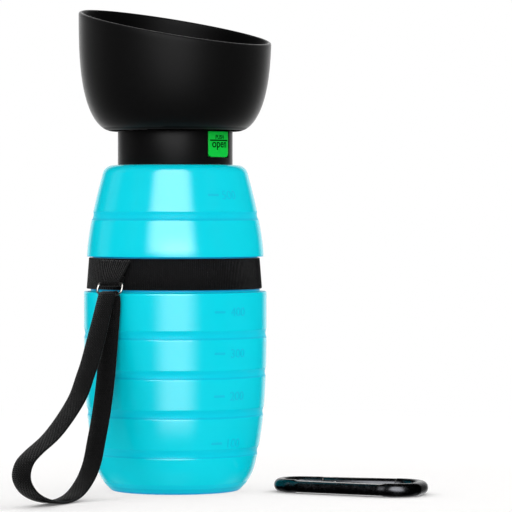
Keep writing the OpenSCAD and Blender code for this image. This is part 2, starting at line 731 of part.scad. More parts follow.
module gate_spring() {
    per_turn = 12;
    sides = 6;
    start = plunger_x + plunger_head + snug;
    run = gate_l - bore_end - start - 2 * spring_wire_r - snug;
    path = [for (i = [0:spring_turns * per_turn]) let (a = 360 * i / per_turn)
        [start + spring_wire_r + run * i / (spring_turns * per_turn),
            coil_r * cos(a), coil_r * sin(a)]];
    n = len(path);
    corners = [for (i = [0:n - 1]) let (
            heading = unit(path[min(i + 1, n - 1)] - path[max(i - 1, 0)]),
            out = unit([0, path[i][1], path[i][2]]),
            up = cross(heading, out))
        each [for (k = [0:sides - 1])
            path[i] + spring_wire_r * (cos(60 * k) * out + sin(60 * k) * up)]];
    color("silver") carabiner_place() gate_frame()
        polyhedron(corners, concat(
            [[for (k = [0:sides - 1]) k]],
            [for (i = [0:n - 2], k = [0:sides - 1]) let (
                a = i * sides + k,
                b = i * sides + (k + 1) % sides)
                each [[a, b + sides, b], [a, a + sides, b + sides]]],
            [[for (k = [0:sides - 1]) n * sides - 1 - k]]));
}

silicone_bottle();
mouth_ring();
elastic_band();
ring_tab();
cap_gasket();
dip_tube();
cap_shell();
valve_block();
spout();
spout_washer();
valve_slide();
slide_seals();
open_button();
close_button();
drinking_bowl();
d_ring();
wrist_strap();
carabiner_body();
carabiner_gate();
gate_pin();
gate_plunger();
gate_spring();
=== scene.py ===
from contextlib import contextmanager
from math import acos, asin, atan2, cos, hypot, pi, radians, sin, sqrt, tan

import bmesh
import bpy
from mathutils import Matrix, Vector


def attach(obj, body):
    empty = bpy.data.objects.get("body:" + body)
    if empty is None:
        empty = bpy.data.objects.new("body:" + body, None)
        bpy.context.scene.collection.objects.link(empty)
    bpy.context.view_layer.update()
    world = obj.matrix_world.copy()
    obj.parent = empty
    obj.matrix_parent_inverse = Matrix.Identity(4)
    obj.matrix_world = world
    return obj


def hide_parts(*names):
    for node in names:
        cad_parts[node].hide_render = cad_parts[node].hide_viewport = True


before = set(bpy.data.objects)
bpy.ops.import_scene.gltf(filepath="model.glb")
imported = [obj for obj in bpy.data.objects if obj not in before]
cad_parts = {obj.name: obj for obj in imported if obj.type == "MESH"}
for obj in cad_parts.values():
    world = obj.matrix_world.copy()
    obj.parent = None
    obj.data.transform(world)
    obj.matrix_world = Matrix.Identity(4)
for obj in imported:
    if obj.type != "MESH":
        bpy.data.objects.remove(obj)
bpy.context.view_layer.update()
scene = bpy.context.scene
mm = 0.001
turn = 2 * pi
upward = Vector((0, 0, 1))


# small helpers for numbers
def pick(sizes, names):
    # several values of a piece's dictionary at once
    return [sizes[name] for name in names.split()]


def polar(radius, angle, z=0.0):
    return Vector((radius * cos(angle), radius * sin(angle), z))


def arc(centre, radius, start, end, steps):
    return [centre + polar(radius, start + (end - start) * i / steps).xy for i in range(steps + 1)]


def eased(t):
    # 0 to 1 with a soft start and end
    t = min(1.0, max(0.0, t))
    return t * t * (3 - 2 * t)


def newObject(name, data):
    holder = bpy.data.objects.new(name, data)
    scene.collection.objects.link(holder)
    return holder


# camera
camera = {"lens": 235.9, "distance": 1.545, "azimuth": -52.0, "eyeHeight": 0.1315, "sideways": 0.03717,
          "aimHeight": 0.10766}


def placeCamera():
    toCamera = polar(1, radians(camera["azimuth"]))
    sideways = Vector((-toCamera.y, toCamera.x, 0)) * camera["sideways"]
    data = bpy.data.cameras.new("camera")
    data.lens, data.sensor_width = camera["lens"], 36
    data.clip_start, data.clip_end = 0.05, 20
    holder = newObject("camera", data)
    holder.location = toCamera * camera["distance"] + sideways + upward * camera["eyeHeight"]
    aim = sideways + upward * camera["aimHeight"]
    holder.rotation_euler = (aim - holder.location).to_track_quat("-Z", "Y").to_euler()
    scene.camera = holder


placeCamera()
print("camera placed")


# small helpers for pieces and meshes
def keepPiece(piece, bodyName, finish=None, replaced=None):
    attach(piece, bodyName)
    if replaced:
        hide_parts(replaced)
    if finish:
        dress(piece, finish)
    return piece


def addPiece(mesh, bodyName, finish, replaced=None):
    # the piece has its mesh's name
    return keepPiece(newObject(mesh.name, mesh), bodyName, finish, replaced)


@contextmanager
def opened(mesh):
    # a mesh open for bmesh work, written back at the end
    work = bmesh.new()
    work.from_mesh(mesh)
    yield work
    work.to_mesh(mesh)
    work.free()


def shadeSmooth(mesh, smooth=True):
    mesh.polygons.foreach_set("use_smooth", [smooth] * len(mesh.polygons))


def meshFrom(name, points, faces, smooth=True):
    # points in mm
    mesh = bpy.data.meshes.new(name)
    mesh.from_pydata([tuple(Vector(p) * mm) for p in points], [], faces)
    mesh.validate()
    shadeSmooth(mesh, smooth)
    mesh.update()
    return mesh


def tidyMesh(mesh, merge=1e-8, sharp=None):
    with opened(mesh) as work:
        bmesh.ops.remove_doubles(work, verts=work.verts, dist=merge)
        bmesh.ops.recalc_face_normals(work, faces=work.faces)
    shadeSmooth(mesh)
    if sharp is not None:
        mesh.set_sharp_from_angle(angle=radians(sharp))
    mesh.update()
    return mesh


def latheMesh(name, profile, segments, closed=True):
    # profile: (radius, height); a radius of 0 becomes a pole
    points, spots = [], []
    for radius, height in profile:
        count = segments if radius > 1e-6 else 1
        spots += [len(points) + i % count for i in range(segments)]
        points += [polar(radius, turn * i / segments, height) for i in range(count)]
    faces = [list(dict.fromkeys(spots[i] for i in face)) for face in gridFaces(len(profile), segments, closed)]
    return meshFrom(name, points, [face for face in faces if len(face) > 2])


def roundCorner(before, corner, after, radius, steps=5):
    # points of a rounded corner of a profile, tangent to both sides
    p, a, b = Vector(corner), Vector(before), Vector(after)
    toA, toB = (a - p).normalized(), (b - p).normalized()
    half = acos(max(-1, min(1, toA.dot(toB)))) / 2
    reach = min(radius / tan(half), 0.48 * (a - p).length, 0.48 * (b - p).length)
    return bend(p + toA * reach, p, p + toB * reach, steps)


def bend(start, corner, end, steps):
    shares = [i / steps for i in range(steps + 1)]
    return [tuple((1 - t) ** 2 * start + 2 * t * (1 - t) * corner + t * t * end) for t in shares]


def roundedProfile(corners):
    # corners of a closed outline: (x, z, radius); a radius of 0 keeps the corner
    out = []
    for i, (x, z, radius) in enumerate(corners):
        before, after = corners[i - 1][:2], corners[(i + 1) % len(corners)][:2]
        out += roundCorner(before, (x, z), after, radius) if radius else [(x, z)]
    return out


def roundedBox(width, height, radius, steps):
    # outline of a rectangle with round corners
    outline = []
    for x, y, start in ((1, 1, 0), (-1, 1, 90), (-1, -1, 180), (1, -1, 270)):
        centre = Vector((x * (width / 2 - radius), y * (height / 2 - radius)))
        outline += arc(centre, radius, radians(start), radians(start + 90), steps)
    return outline


def gridFaces(rows, columns, closed=True):
    # quads of a sheet that closes sideways, and lengthwise too where closed
    faces = []
    for i in range(rows if closed else rows - 1):
        for k in range(columns):
            a, b, m = i * columns, (i + 1) % rows * columns, (k + 1) % columns
            faces.append([a + k, a + m, b + m, b + k])
    return faces


def headings(path, closed=False):
    # the direction of a path at each of its points
    ends = path[-1:] + path + path[:1] if closed else path[:1] + path + path[-1:]
    return [(after - before).normalized() for before, after in zip(ends, ends[2:])]


def sweepMesh(name, path, sections, across, closed=False):
    # sections: one outline, or a list with one per point of the path; across gives each point's side direction
    if not isinstance(sections[0], list):
        sections = [sections] * len(path)
    points = []
    for point, heading, way, section in zip(path, headings(path, closed), across, sections):
        side = (way - heading * way.dot(heading)).normalized()
        up = heading.cross(side)
        points += [point + side * s + up * u for s, u in section]
    sides = len(sections[0])
    faces = gridFaces(len(path), sides, closed)
    if not closed:
        faces += [list(range(sides))[::-1], list(range(len(points) - sides, len(points)))]
    return meshFrom(name, points, faces)


def pushUp(work, height):
    # gives the flat faces a thickness upwards
    top = bmesh.ops.extrude_face_region(work, geom=work.faces[:])
    moved = [v for v in top["geom"] if isinstance(v, bmesh.types.BMVert)]
    bmesh.ops.translate(work, verts=moved, vec=upward * height)


def evaluated(piece):
    # turns the modifiers of a piece into its plain mesh
    graph = bpy.context.evaluated_depsgraph_get()
    mesh = bpy.data.meshes.new_from_object(piece.evaluated_get(graph), preserve_all_data_layers=True, depsgraph=graph)
    old = piece.data
    piece.modifiers.clear()
    piece.data = mesh
    bpy.data.meshes.remove(old)
    return piece


def softenedNode(name, node, width, segments=2):
    # a CAD node's own shape with its edges broken, as a moulding has them
    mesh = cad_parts[node].data.copy()
    mesh.materials.clear()
    with opened(mesh) as work:
        bmesh.ops.remove_doubles(work, verts=work.verts, dist=1e-6)
        bmesh.ops.dissolve_limit(work, angle_limit=radians(0.5), verts=work.verts, edges=work.edges)
    piece = newObject(name, mesh)
    edges = piece.modifiers.new("edges", "BEVEL")
    edges.width, edges.segments = width * mm, segments
    edges.limit_method, edges.angle_limit = "ANGLE", radians(30)
    edges.harden_normals = False
    evaluated(piece)
    shadeSmooth(piece.data)
    piece.data.set_sharp_from_angle(angle=radians(40))
    return piece


def joinMeshes(name, meshes):
    joined = bpy.data.meshes.new(name)
    with opened(joined) as work:
        for mesh in meshes:
            work.from_mesh(mesh)
    return joined


# small helpers for node trees
class Wire:
    # what a node gives, added and multiplied like a number
    def __init__(self, tree, node, output=0):
        self.tree, self.socket = tree, node.outputs[output]

    def calc(self, operation, *others):
        return calc(self.tree, operation, self, *others)

    def __add__(self, other):
        return self.calc("ADD", other)

    def __sub__(self, other):
        return self.calc("SUBTRACT", other)

    def __rsub__(self, other):
        return calc(self.tree, "SUBTRACT", other, self)

    def __mul__(self, other):
        return self.calc("MULTIPLY", other)

    def __truediv__(self, other):
        return self.calc("DIVIDE", other)


def feed(tree, socket, value):
    if isinstance(value, Wire):
        tree.links.new(value.socket, socket)
    else:
        socket.default_value = value


def addNode(tree, kind, inputs=None, **settings):
    item = tree.nodes.new(kind)
    for key, value in settings.items():
        setattr(item, key, value)
    for label, value in (inputs or {}).items():
        feed(tree, item.inputs[label], value)
    return item


def wired(tree, kind, inputs=None, **settings):
    # a new node's first output
    return Wire(tree, addNode(tree, kind, inputs, **settings))


def calc(tree, operation, *values):
    return wired(tree, "ShaderNodeMath", dict(enumerate(values)), operation=operation)


def geometryTree(name, inputs):
    tree = bpy.data.node_groups.new(name, "GeometryNodeTree")
    for way in ("INPUT", "OUTPUT"):
        tree.interface.new_socket("Geometry", in_out=way, socket_type="NodeSocketGeometry")
    for label, kind in [*inputs, ("Material", "Material")]:
        tree.interface.new_socket(label, in_out="INPUT", socket_type="NodeSocket" + kind)
    entry = addNode(tree, "NodeGroupInput")
    return tree, lambda label: Wire(tree, entry, label)


def closeTree(tree, given, geometry):
    whole = wired(tree, "GeometryNodeRealizeInstances", {0: geometry})
    dressed = wired(tree, "GeometryNodeSetMaterial", {"Geometry": whole, "Material": given("Material")})
    addNode(tree, "NodeGroupOutput", {0: dressed})
    return tree


def growTree(name, tree, values, seedMesh=None):
    # runs a tree on a mesh and keeps the result as a plain mesh
    holder = newObject(name, seedMesh or bpy.data.meshes.new(name))
    modifier = holder.modifiers.new(tree.name, "NODES")
    modifier.node_group = tree
    for item in tree.interface.items_tree:
        if item.in_out == "INPUT" and item.name in values:
            modifier[item.identifier] = values[item.name]
    return evaluated(holder)


# materials
def newMaterial(name, colour, roughness, metallic=0.0, specular=0.5, sheen=0.0):
    material = bpy.data.materials.new(name)
    material.use_nodes = True
    material.diffuse_color = (*colour, 1)
    tree = material.node_tree
    shader = tree.nodes["Principled BSDF"]
    for label, value in (("Base Color", (*colour, 1)), ("Roughness", roughness), ("Metallic", metallic),
                         ("Specular IOR Level", specular), ("Sheen Weight", sheen), ("Sheen Roughness", 0.3)):
        shader.inputs[label].default_value = value
    return material, tree, shader


def coordinates(tree, kind="Object"):
    return Wire(tree, addNode(tree, "ShaderNodeTexCoord"), kind)


def noise(tree, vector, scale, detail, roughness=0.5):
    return wired(tree, "ShaderNodeTexNoise",
                 {"Vector": vector, "Scale": scale, "Detail": detail, "Roughness": roughness})


def spread(tree, value, low, high, fromLow, fromHigh):
    return wired(tree, "ShaderNodeMapRange", {"Value": value, "From Min": fromLow, "From Max": fromHigh,
                                              "To Min": low, "To Max": high})


def tint(tree, shader, value, dark, light):
    ramp = addNode(tree, "ShaderNodeValToRGB", {0: value})
    ramp.color_ramp.elements[0].color = (*dark, 1)
    ramp.color_ramp.elements[1].color = (*light, 1)
    feed(tree, shader.inputs["Base Color"], Wire(tree, ramp))


def roughen(tree, shader, value, distance):
    bump = wired(tree, "ShaderNodeBump", {"Distance": distance, "Strength": 1.0, "Height": value})
    feed(tree, shader.inputs["Normal"], bump)


def mouldedMaterial(name, colour, roughness, grain, grainDepth, mottle, specular=0.5, sheen=0.0):
    # a moulded plastic or silicone: fine grain, slight mottling and uneven gloss
    material, tree, shader = newMaterial(name, colour, roughness, 0.0, specular, sheen)
    place = coordinates(tree)
    fine = noise(tree, place, grain, 4, 0.6)
    tint(tree, shader, spread(tree, noise(tree, place, 38, 3), 0, 1, 0.3, 0.7),
         [c * (1 - mottle) for c in colour], [min(1, c * (1 + mottle)) for c in colour])
    gloss = spread(tree, fine, roughness * 0.9, roughness * 1.12, 0.25, 0.75)
    feed(tree, shader.inputs["Roughness"], gloss)
    roughen(tree, shader, fine, grainDepth)
    return material


def webbingMaterial(name, colour, rowPitch, yarnPitch, fuzzy=0.35):
    # woven tape on its own UV map in metres: U runs along the tape, V across it
    material, tree, shader = newMaterial(name, colour, 0.78, 0.0, 0.08, 0.25)
    split = addNode(tree, "ShaderNodeSeparateXYZ", {0: coordinates(tree, "UV")})
    row, yarn = Wire(tree, split, 0) / rowPitch, Wire(tree, split, 1) / yarnPitch
    shifted = row + yarn.calc("FLOOR") * 0.5
    across = (yarn * pi).calc("SINE").calc("ABSOLUTE")
    along = (shifted * pi).calc("SINE").calc("ABSOLUTE")
    height = across * along + noise(tree, coordinates(tree), 2600, 3, 0.6) * fuzzy
    # the weave's hollows are painted darker and its tops lighter: painted shade and light on the weave
    tint(tree, shader, spread(tree, height, 0, 1, 0.1, 1.1), [c * 0.55 for c in colour], [c * 1.35 for c in colour])
    roughen(tree, shader, height, 0.0002)
    return material


def metalMaterial(name, colour, roughness, scratch=0.0):
    material, tree, shader = newMaterial(name, colour, roughness, 1.0)
    place = coordinates(tree)
    worn = noise(tree, place, 420, 4, 0.6)
    feed(tree, shader.inputs["Roughness"], spread(tree, worn, roughness * 0.75, roughness * 1.3, 0.3, 0.7))
    tint(tree, shader, spread(tree, noise(tree, place, 90, 2), 0, 1, 0.3, 0.7),
         [c * 0.93 for c in colour], [min(1, c * 1.03) for c in colour])
    if scratch:
        roughen(tree, shader, worn, scratch)
    return material


# colour, roughness, grain per metre and its depth, mottling, gloss level, sheen
moulded = {
    "cyanSilicone": ((0.0009, 0.69, 0.83), 0.13, 900, 0.000006, 0.015),
    # painted shade on the cyan silicone: paler in the grooves and at the foot, deeper at the grooves' lower edges, the
    # foot's edge and the ledge, deepest in the recess and under the foot
    "etchedSilicone": ((0.0005, 0.62, 0.79), 0.32, 900, 0.000006, 0.015, 0.06),
    "grooveEdge": ((0.0004, 0.54, 0.73), 0.32, 900, 0.000006, 0.015, 0.06),
    "shadedSilicone": ((0.0003, 0.42, 0.78), 0.4, 900, 0.000006, 0.015, 0.1),
    # a darker cyan for the volume marks: painted shade for their relief
    "reliefSilicone": ((0.0006, 0.56, 0.74), 0.32, 900, 0.000006, 0.015, 0.12),
    "blackSilicone": ((0.0026, 0.0026, 0.0027), 0.42, 1500, 0.00002, 0.05, 0.07, 0.6),
    # the next two are the black silicone with painted shade, inside the bowl and at its foot
    "innerSilicone": ((0.0014, 0.0014, 0.0015), 0.45, 1500, 0.00002, 0.05, 0.05, 0.2),
    "shadedRubber": ((0.0008, 0.0008, 0.0008), 0.6, 1500, 0.00002, 0.05, 0.0),
    "sealRubber": ((0.02, 0.02, 0.021), 0.6, 1700, 0.00003, 0.08),
    "blackPlastic": ((0.0026, 0.0026, 0.0028), 0.38, 1900, 0.00002, 0.05, 0.07, 0.6),
    "greyPlastic": ((0.62, 0.64, 0.66), 0.35, 1500, 0.00002, 0.02),
    "whitePlastic": ((0.82, 0.83, 0.84), 0.28, 1300, 0.00001, 0.015),
    "greenPlastic": ((0.0003, 0.59, 0.05), 0.3, 1500, 0.00001, 0.02, 0.12),
    "redPlastic": ((0.58, 0.012, 0.02), 0.3, 1500, 0.00001, 0.02, 0.2),
    "print": ((0.001, 0.004, 0.0015), 0.5, 1500, 0.00001, 0.1, 0.03),
    "thread": ((0.012, 0.012, 0.0125), 0.7, 3000, 0.00005, 0.1, 0.1),
}
# colour, pitch of the rows and of the yarns in metres, fuzz
webbing = {
    # the gap finishes are darker than the ribs and rows laid on them: painted shade between them
    "elasticGap": ((0.0012, 0.0012, 0.0014), 0.0009, 0.00055),
    "elastic": ((0.0046, 0.0046, 0.0053), 0.0009, 0.00055),
    "tapeGap": ((0.001, 0.001, 0.0011), 0.0011, 0.0007),
    "tape": ((0.0019, 0.0019, 0.0021), 0.0011, 0.0007),
    "ribbedTape": ((0.0048, 0.0048, 0.0051), 0.0005, 0.018 / 13, 0.12),
}
# colour, roughness, depth of the scratches
metals = {
    "nickel": ((0.4, 0.39, 0.37), 0.3),
    "anodised": ((0.045, 0.046, 0.05), 0.24, 0.00001),
    "springSteel": ((0.5, 0.5, 0.51), 0.3),
}
finishes = {}
for makeMaterial, rows in ((mouldedMaterial, moulded), (webbingMaterial, webbing), (metalMaterial, metals)):
    for name, row in rows.items():
        finishes[name] = makeMaterial(name, *row)


def dress(piece, finish):
    piece.data.materials.clear()
    piece.data.materials.append(finishes[finish])


def dressPart(piece, finish, chosen):
    # one more finish, on the faces whose centre in mm passes the test
    piece.data.materials.append(finishes[finish])
    for face in piece.data.polygons:
        if chosen(face.center / mm):
            face.material_index = len(piece.data.materials) - 1


print("materials made")


# squeeze body: ribbed barrel and shoulder, one rule for both
body = {
    "segments": 152, "barrelRows": 366, "shoulderRows": 170, "barrelHeight": 91.5, "barrelRadius": 42.1,
    "barrelDraw": 8.8, "barrelCurve": 3.6, "footRadius": 29.3, "footSlope": 1.15, "footRound": 12.0, "footSteps": 24,
    "recessTop": 107.5, "shoulderHeight": 38.38, "shoulderRadius": 40.7, "shoulderDraw": 7.4, "shoulderCurve": 1.44,
    "seatLow": 38.95, "seatHigh": 37.71, "ledgeRound": 0.85, "seatRound": 0.6, "shoulderRound": 0.7, "lip": 0.9,
    "wall": 2.0, "top": 149.5, "mouth": 25.0, "crownRound": 5.0, "crownStart": 16.0, "crownSteps": 12,
    "grooveWidth": 4.2, "grooveDepth": 0.55, "grooveEase": 0.3, "barrelGrooves": 4, "barrelGrooveAt": 18.7,
    # the last values place the painted shade: its width round each groove, its share at their lower edge, and its
    # heights at the foot, on the ledge and in the recess
    "groovePitch": 17.9, "shoulderGrooveAt": 18.6, "etched": 3.9, "grooveShadeEdge": 0.3, "footPaleShade": 4.6,
    "footMidShade": 2.7, "footShade": 0.75, "ledgeShade": (-0.25, 0.6), "recessShade": 0.35,
    "inside": (39.4, 3.5), "insideSlack": 0.9, "insideRings": (80, 65, 50, 35, 22, 12, 7), "insideFloor": (28.0, 2.6),
}


def grooveTree():
    # a tube whose radius follows one curve of the height, with rounded grooves pressed in
    numbers = ("Base Height", "Height", "Radius", "Draw", "Curve", "Draws In At The Top", "Groove Count",
               "First Groove", "Groove Pitch", "Groove Width", "Groove Depth", "Groove Ease")
    tree, given = geometryTree("groovedShell", [
        ("Segments", "Int"), ("Rows", "Int"), *((label, "Float") for label in numbers)])
    sheet = addNode(tree, "GeometryNodeMeshGrid", {"Size X": 1, "Size Y": 1, "Vertices X": given("Segments") + 1,
                                                   "Vertices Y": given("Rows")})
    place = addNode(tree, "ShaderNodeSeparateXYZ", {0: wired(tree, "GeometryNodeInputPosition")})
    angle = (Wire(tree, place, 0) + 0.5) * turn
    share = Wire(tree, place, 1) + 0.5
    height = share * given("Height")
    atTop = given("Draws In At The Top")
    mix = (1.0 - share) * (1.0 - atTop) + share * atTop
    drawn = given("Draw") * mix.calc("MAXIMUM", 0.0).calc("POWER", given("Curve"))
    steps = (height - given("First Groove")) / given("Groove Pitch")
    nearest = steps.calc("ROUND").calc("MAXIMUM", 0.0).calc("MINIMUM", given("Groove Count") - 1.0)
    away = (steps - nearest) * given("Groove Pitch") / (given("Groove Width") * 0.5)
    pressed = (1.0 - away * away).calc("SMOOTH_MAX", 0.0, given("Groove Ease")) * given("Groove Depth")
    radius = given("Radius") - drawn - pressed
    spot = wired(tree, "ShaderNodeCombineXYZ", {0: radius * angle.calc("COSINE"), 1: radius * angle.calc("SINE"),
                                                2: given("Base Height") + height})
    moved = wired(tree, "GeometryNodeSetPosition", {"Geometry": Wire(tree, sheet, "Mesh"), "Position": spot})
    return closeTree(tree, given, wired(tree, "GeometryNodeMergeByDistance", {0: moved, "Distance": 1e-6}))


def barrelDrawAt(z):
    # how far the barrel is drawn in; also the draw of all that stands above z
    return body["barrelDraw"] * max(1 - z / body["barrelHeight"], 0) ** body["barrelCurve"]


def barrelRadiusAt(z):
    return body["barrelRadius"] - barrelDrawAt(z)


def shoulderRadiusAt(z):
    # radius of the shoulder at a height above its lower edge
    return body["shoulderRadius"] - body["shoulderDraw"] * max(z / body["shoulderHeight"], 0) ** body["shoulderCurve"]


def skinRadiusAt(z):
    return barrelRadiusAt(z) if z < body["recessTop"] else shoulderRadiusAt(z - body["recessTop"])


def fromGroove(point):
    # height above the nearest groove's middle
    heights = [body["barrelGrooveAt"] + i * body["groovePitch"] for i in range(body["barrelGrooves"])]
    return min((point.z - h for h in [*heights, body["recessTop"] + body["shoulderGrooveAt"]]), key=abs)


def growSkin(name, tree, low, lengths, values):
    # lengths in mm, the height and the first groove counted from the floor
    lengths = {**lengths, "Base Height": low, "Height": lengths["Height"] - low,
               "First Groove": lengths["First Groove"] - low, "Groove Width": body["grooveWidth"],
               "Groove Depth": body["grooveDepth"]}
    return growTree(name, tree, {"Segments": body["segments"], "Groove Ease": body["grooveEase"],
                                 "Material": finishes["cyanSilicone"], **values,
                                 **{label: length * mm for label, length in lengths.items()}})


def cut(work, at, way, **settings):
    bmesh.ops.bisect_plane(work, geom=work.verts[:] + work.edges[:] + work.faces[:], plane_co=at, plane_no=way,
                           **settings)


def bodyMesh():
    low, ledge, lip, recess, rise = pick(body, "footRound barrelHeight lip recessTop shoulderHeight")
    high, lipRadius, endRadius, endZ = ledge - lip, shoulderRadiusAt(lip), shoulderRadiusAt(rise), recess + rise
    tree = grooveTree()
    barrel = growSkin("barrelSkin", tree, low, {
        "Height": ledge, "Radius": body["barrelRadius"], "Draw": barrelDrawAt(low),
        "First Groove": body["barrelGrooveAt"], "Groove Pitch": body["groovePitch"]}, {
        "Rows": body["barrelRows"], "Curve": body["barrelCurve"], "Draws In At The Top": 0.0,
        "Groove Count": float(body["barrelGrooves"])})
    shoulder = growSkin("shoulderSkin", tree, recess + lip, {
        "Height": endZ, "Radius": lipRadius, "Draw": lipRadius - endRadius,
        "First Groove": recess + body["shoulderGrooveAt"], "Groove Pitch": 100}, {
        "Rows": body["shoulderRows"], "Curve": body["shoulderCurve"], "Draws In At The Top": 1.0, "Groove Count": 1.0})
    with opened(barrel.data) as work:
        cut(work, upward * high * mm, upward, clear_outer=True)
    # from the floor's edge a bend up to the barrel, with the slope of each at its own end
    foot, lowRadius, near = body["footRadius"], barrelRadiusAt(low), 0.1
    slope = (barrelRadiusAt(low + near) - lowRadius) / near
    bendZ = (lowRadius - slope * low - foot) / (body["footSlope"] - slope)
    bent = bend(Vector((foot, 0)), Vector((foot + body["footSlope"] * bendZ, bendZ)), Vector((lowRadius, low)),
                body["footSteps"])
    base = [(0, 0), (foot - 5, 0), (foot - 0.3, 0), (foot - 0.05, 0.08), *bent[1:]]
    # the band's recess
    edge, lower, upper = (body["barrelRadius"], ledge), (body["seatLow"], ledge), (body["seatHigh"], recess)
    under, start, rim = (body["shoulderRadius"], recess), (barrelRadiusAt(high), high), (lipRadius, recess + lip)
    middle = [start, *roundCorner((start[0], high - 3), edge, lower, body["ledgeRound"], 6)[1:]]
    middle += roundCorner(edge, lower, upper, body["seatRound"], 4)
    middle += roundCorner(lower, upper, under, body["seatRound"], 4)
    middle += roundCorner(upper, under, rim, body["shoulderRound"], 6)[:-1] + [rim]
    # the crown, the mouth and the inside down to the floor
    top, wall, mouth = pick(body, "top wall mouth")
    first = radians(body["crownStart"])
    centre = Vector((endRadius, endZ)) - polar(body["crownRound"], first).xy
    crown = arc(centre, body["crownRound"], first, turn / 4, body["crownSteps"]) + [
        (mouth + 0.6, top), (mouth, top - 0.5), (mouth, top - wall)]
    inner = [(endRadius - 2 * wall, top - wall), (endRadius - wall, endZ - 1.2),
             (shoulderRadiusAt(20) - wall - 1, recess + 19.5), (upper[0] + 0.6, recess + 3),
             (upper[0] - wall, recess + wall), (lower[0] - wall, ledge - wall),
             (body["inside"][0], ledge - body["inside"][1])]
    inner += [(barrelRadiusAt(z) - wall - body["insideSlack"], z) for z in body["insideRings"]]
    inner += [body["insideFloor"], (0, body["insideFloor"][1])]
    lathed = [latheMesh(name, profile, body["segments"], closed=False)
              for name, profile in (("foot", base), ("recess", middle), ("inside", crown + inner))]
    mesh = joinMeshes("bottleBody", [barrel.data, shoulder.data, *lathed])
    for piece in (barrel, shoulder):
        bpy.data.objects.remove(piece)
    return tidyMesh(mesh, merge=8e-6)


bottleBody = addPiece(bodyMesh(), "bottle", "cyanSilicone", "silicone_bottle")
bottleBody.visible_diffuse = False  # no blue cast on the floor
# the grooves stay matt and carry painted shade, deeper at their lower edge; the ledge, the recess and the foot's edge
# carry painted shade too
shadeLow, shadeHigh = (body["barrelHeight"] + limit for limit in body["ledgeShade"])
for finish, chosen in (
        ("etchedSilicone", lambda p: abs(fromGroove(p)) < body["etched"] / 2 or p.z < body["footPaleShade"]),
        ("grooveEdge", lambda p: -body["etched"] / 2 < fromGroove(p) < -body["grooveShadeEdge"] * body["etched"]),
        ("grooveEdge", lambda p: p.z < body["footMidShade"] or shadeLow < p.z < shadeHigh),
        ("shadedSilicone", lambda p: shadeHigh < p.z < body["recessTop"] + body["recessShade"]
         or p.z < body["footShade"])):
    dressPart(bottleBody, finish, chosen)
print("squeeze body made,", len(bottleBody.data.polygons), "faces")


# what stands in rows: ribs of the elastic, rows of the tape, stitches
def rowTree(name, kind, inputs, **settings):
    # one small form on each point, its length along "along" and its thickness along "out"
    tree, given = geometryTree(name, [("Size", "Vector")])
    form = addNode(tree, kind, inputs, **settings)
    ways = [addNode(tree, "GeometryNodeInputNamedAttribute", {"Name": label}, data_type="FLOAT_VECTOR")
            for label in ("along", "out")]
    axes = wired(tree, "FunctionNodeAxesToRotation", {i: Wire(tree, way, "Attribute") for i, way in enumerate(ways)},
                 primary_axis="Z", secondary_axis="X")
    placed = wired(tree, "GeometryNodeInstanceOnPoints", {
        "Points": given("Geometry"), "Instance": Wire(tree, form, "Mesh"), "Rotation": axes, "Scale": given("Size")})
    return closeTree(tree, given, wired(tree, "GeometryNodeSetShadeSmooth", {"Geometry": placed}))


barTree = rowTree("rowOfBars", "GeometryNodeMeshCylinder", {"Vertices": 8, "Radius": 0.5, "Depth": 1},
                  fill_type="NGON")
beadTree = rowTree("rowOfStitches", "GeometryNodeMeshUVSphere", {"Segments": 8, "Rings": 5, "Radius": 0.5})


def growRow(name, tree, spots, size, finish):
    # spots: (point, along, out)
    mesh = meshFrom(name, [spot[0] for spot in spots], [])
    for label, index in (("along", 1), ("out", 2)):
        layer = mesh.attributes.new(label, "FLOAT_VECTOR", "POINT")
        layer.data.foreach_set("vector", [c for s in spots for c in s[index]])
    return growTree(name, tree, {"Size": [s * mm for s in size], "Material": finishes[finish]}, mesh)


# drinking bowl
bowl = {"foot": 28.5, "rim": 44.4, "lowRim": 38.7, "highRim": 57.4, "above": 0.4, "wall": 2.1, "floor": 2.0,
        "swell": 3.2, "corner": 2.05, "segments": 144, "rows": 40, "rimSteps": 8, "bottom": 165.0, "hole": 4.2,
        "holeEdge": 0.25, "innerFoot": 27.1, "outerRings": (18.0, 1.2), "innerRings": (16.0, 1.5),
        "insideFrom": 0.7, "lowEdge": 1.5, "underside": 0.35}


def bowlRadius(h, full, low, high):
    share = max(0.0, 1 - h / full)
    return low + (high - low) * max(0.0, 1 - share ** bowl["swell"]) ** (1 / bowl["corner"])


def bowlMesh():
    foot, rim, lowRim, highRim, wall, floor = pick(bowl, "foot rim lowRim highRim wall floor")
    hole, edge, innerFoot, segments, rows = pick(bowl, "hole holeEdge innerFoot segments rows")
    shares = [(k / rows) ** 2 for k in range(rows + 1)]
    full, points = highRim + bowl["above"], []
    for i in range(segments):
        a = turn * i / segments
        lip = (lowRim + highRim) / 2 - (highRim - lowRim) / (2 * rim) * (rim - wall / 2) * cos(a)
        end = lip - wall / 2
        line = [(hole, edge), (hole + edge, 0.0), (bowl["outerRings"][0], 0.0), (foot - bowl["outerRings"][1], 0.0)]
        line += [(bowlRadius(end * share, full, foot, rim), end * share) for share in shares]
        inner = [(bowlRadius((end - floor) * share, full - floor, innerFoot, rim - wall),
                  floor + (end - floor) * share) for share in shares[::-1]]
        centre, half = (line[-1][0] + inner[0][0]) / 2, (line[-1][0] - inner[0][0]) / 2
        arc = [pi * k / bowl["rimSteps"] for k in range(1, bowl["rimSteps"])]
        line += [(centre + half * cos(b), end + half * sin(b)) for b in arc] + inner
        line += [(innerFoot - bowl["innerRings"][1], floor), (bowl["innerRings"][0], floor),
                 (hole + edge, floor), (hole, floor - edge)]
        points += [polar(r, a, bowl["bottom"] + h) for r, h in line]
    return tidyMesh(meshFrom("drinkingBowl", points, gridFaces(segments, len(line))), merge=1e-7)


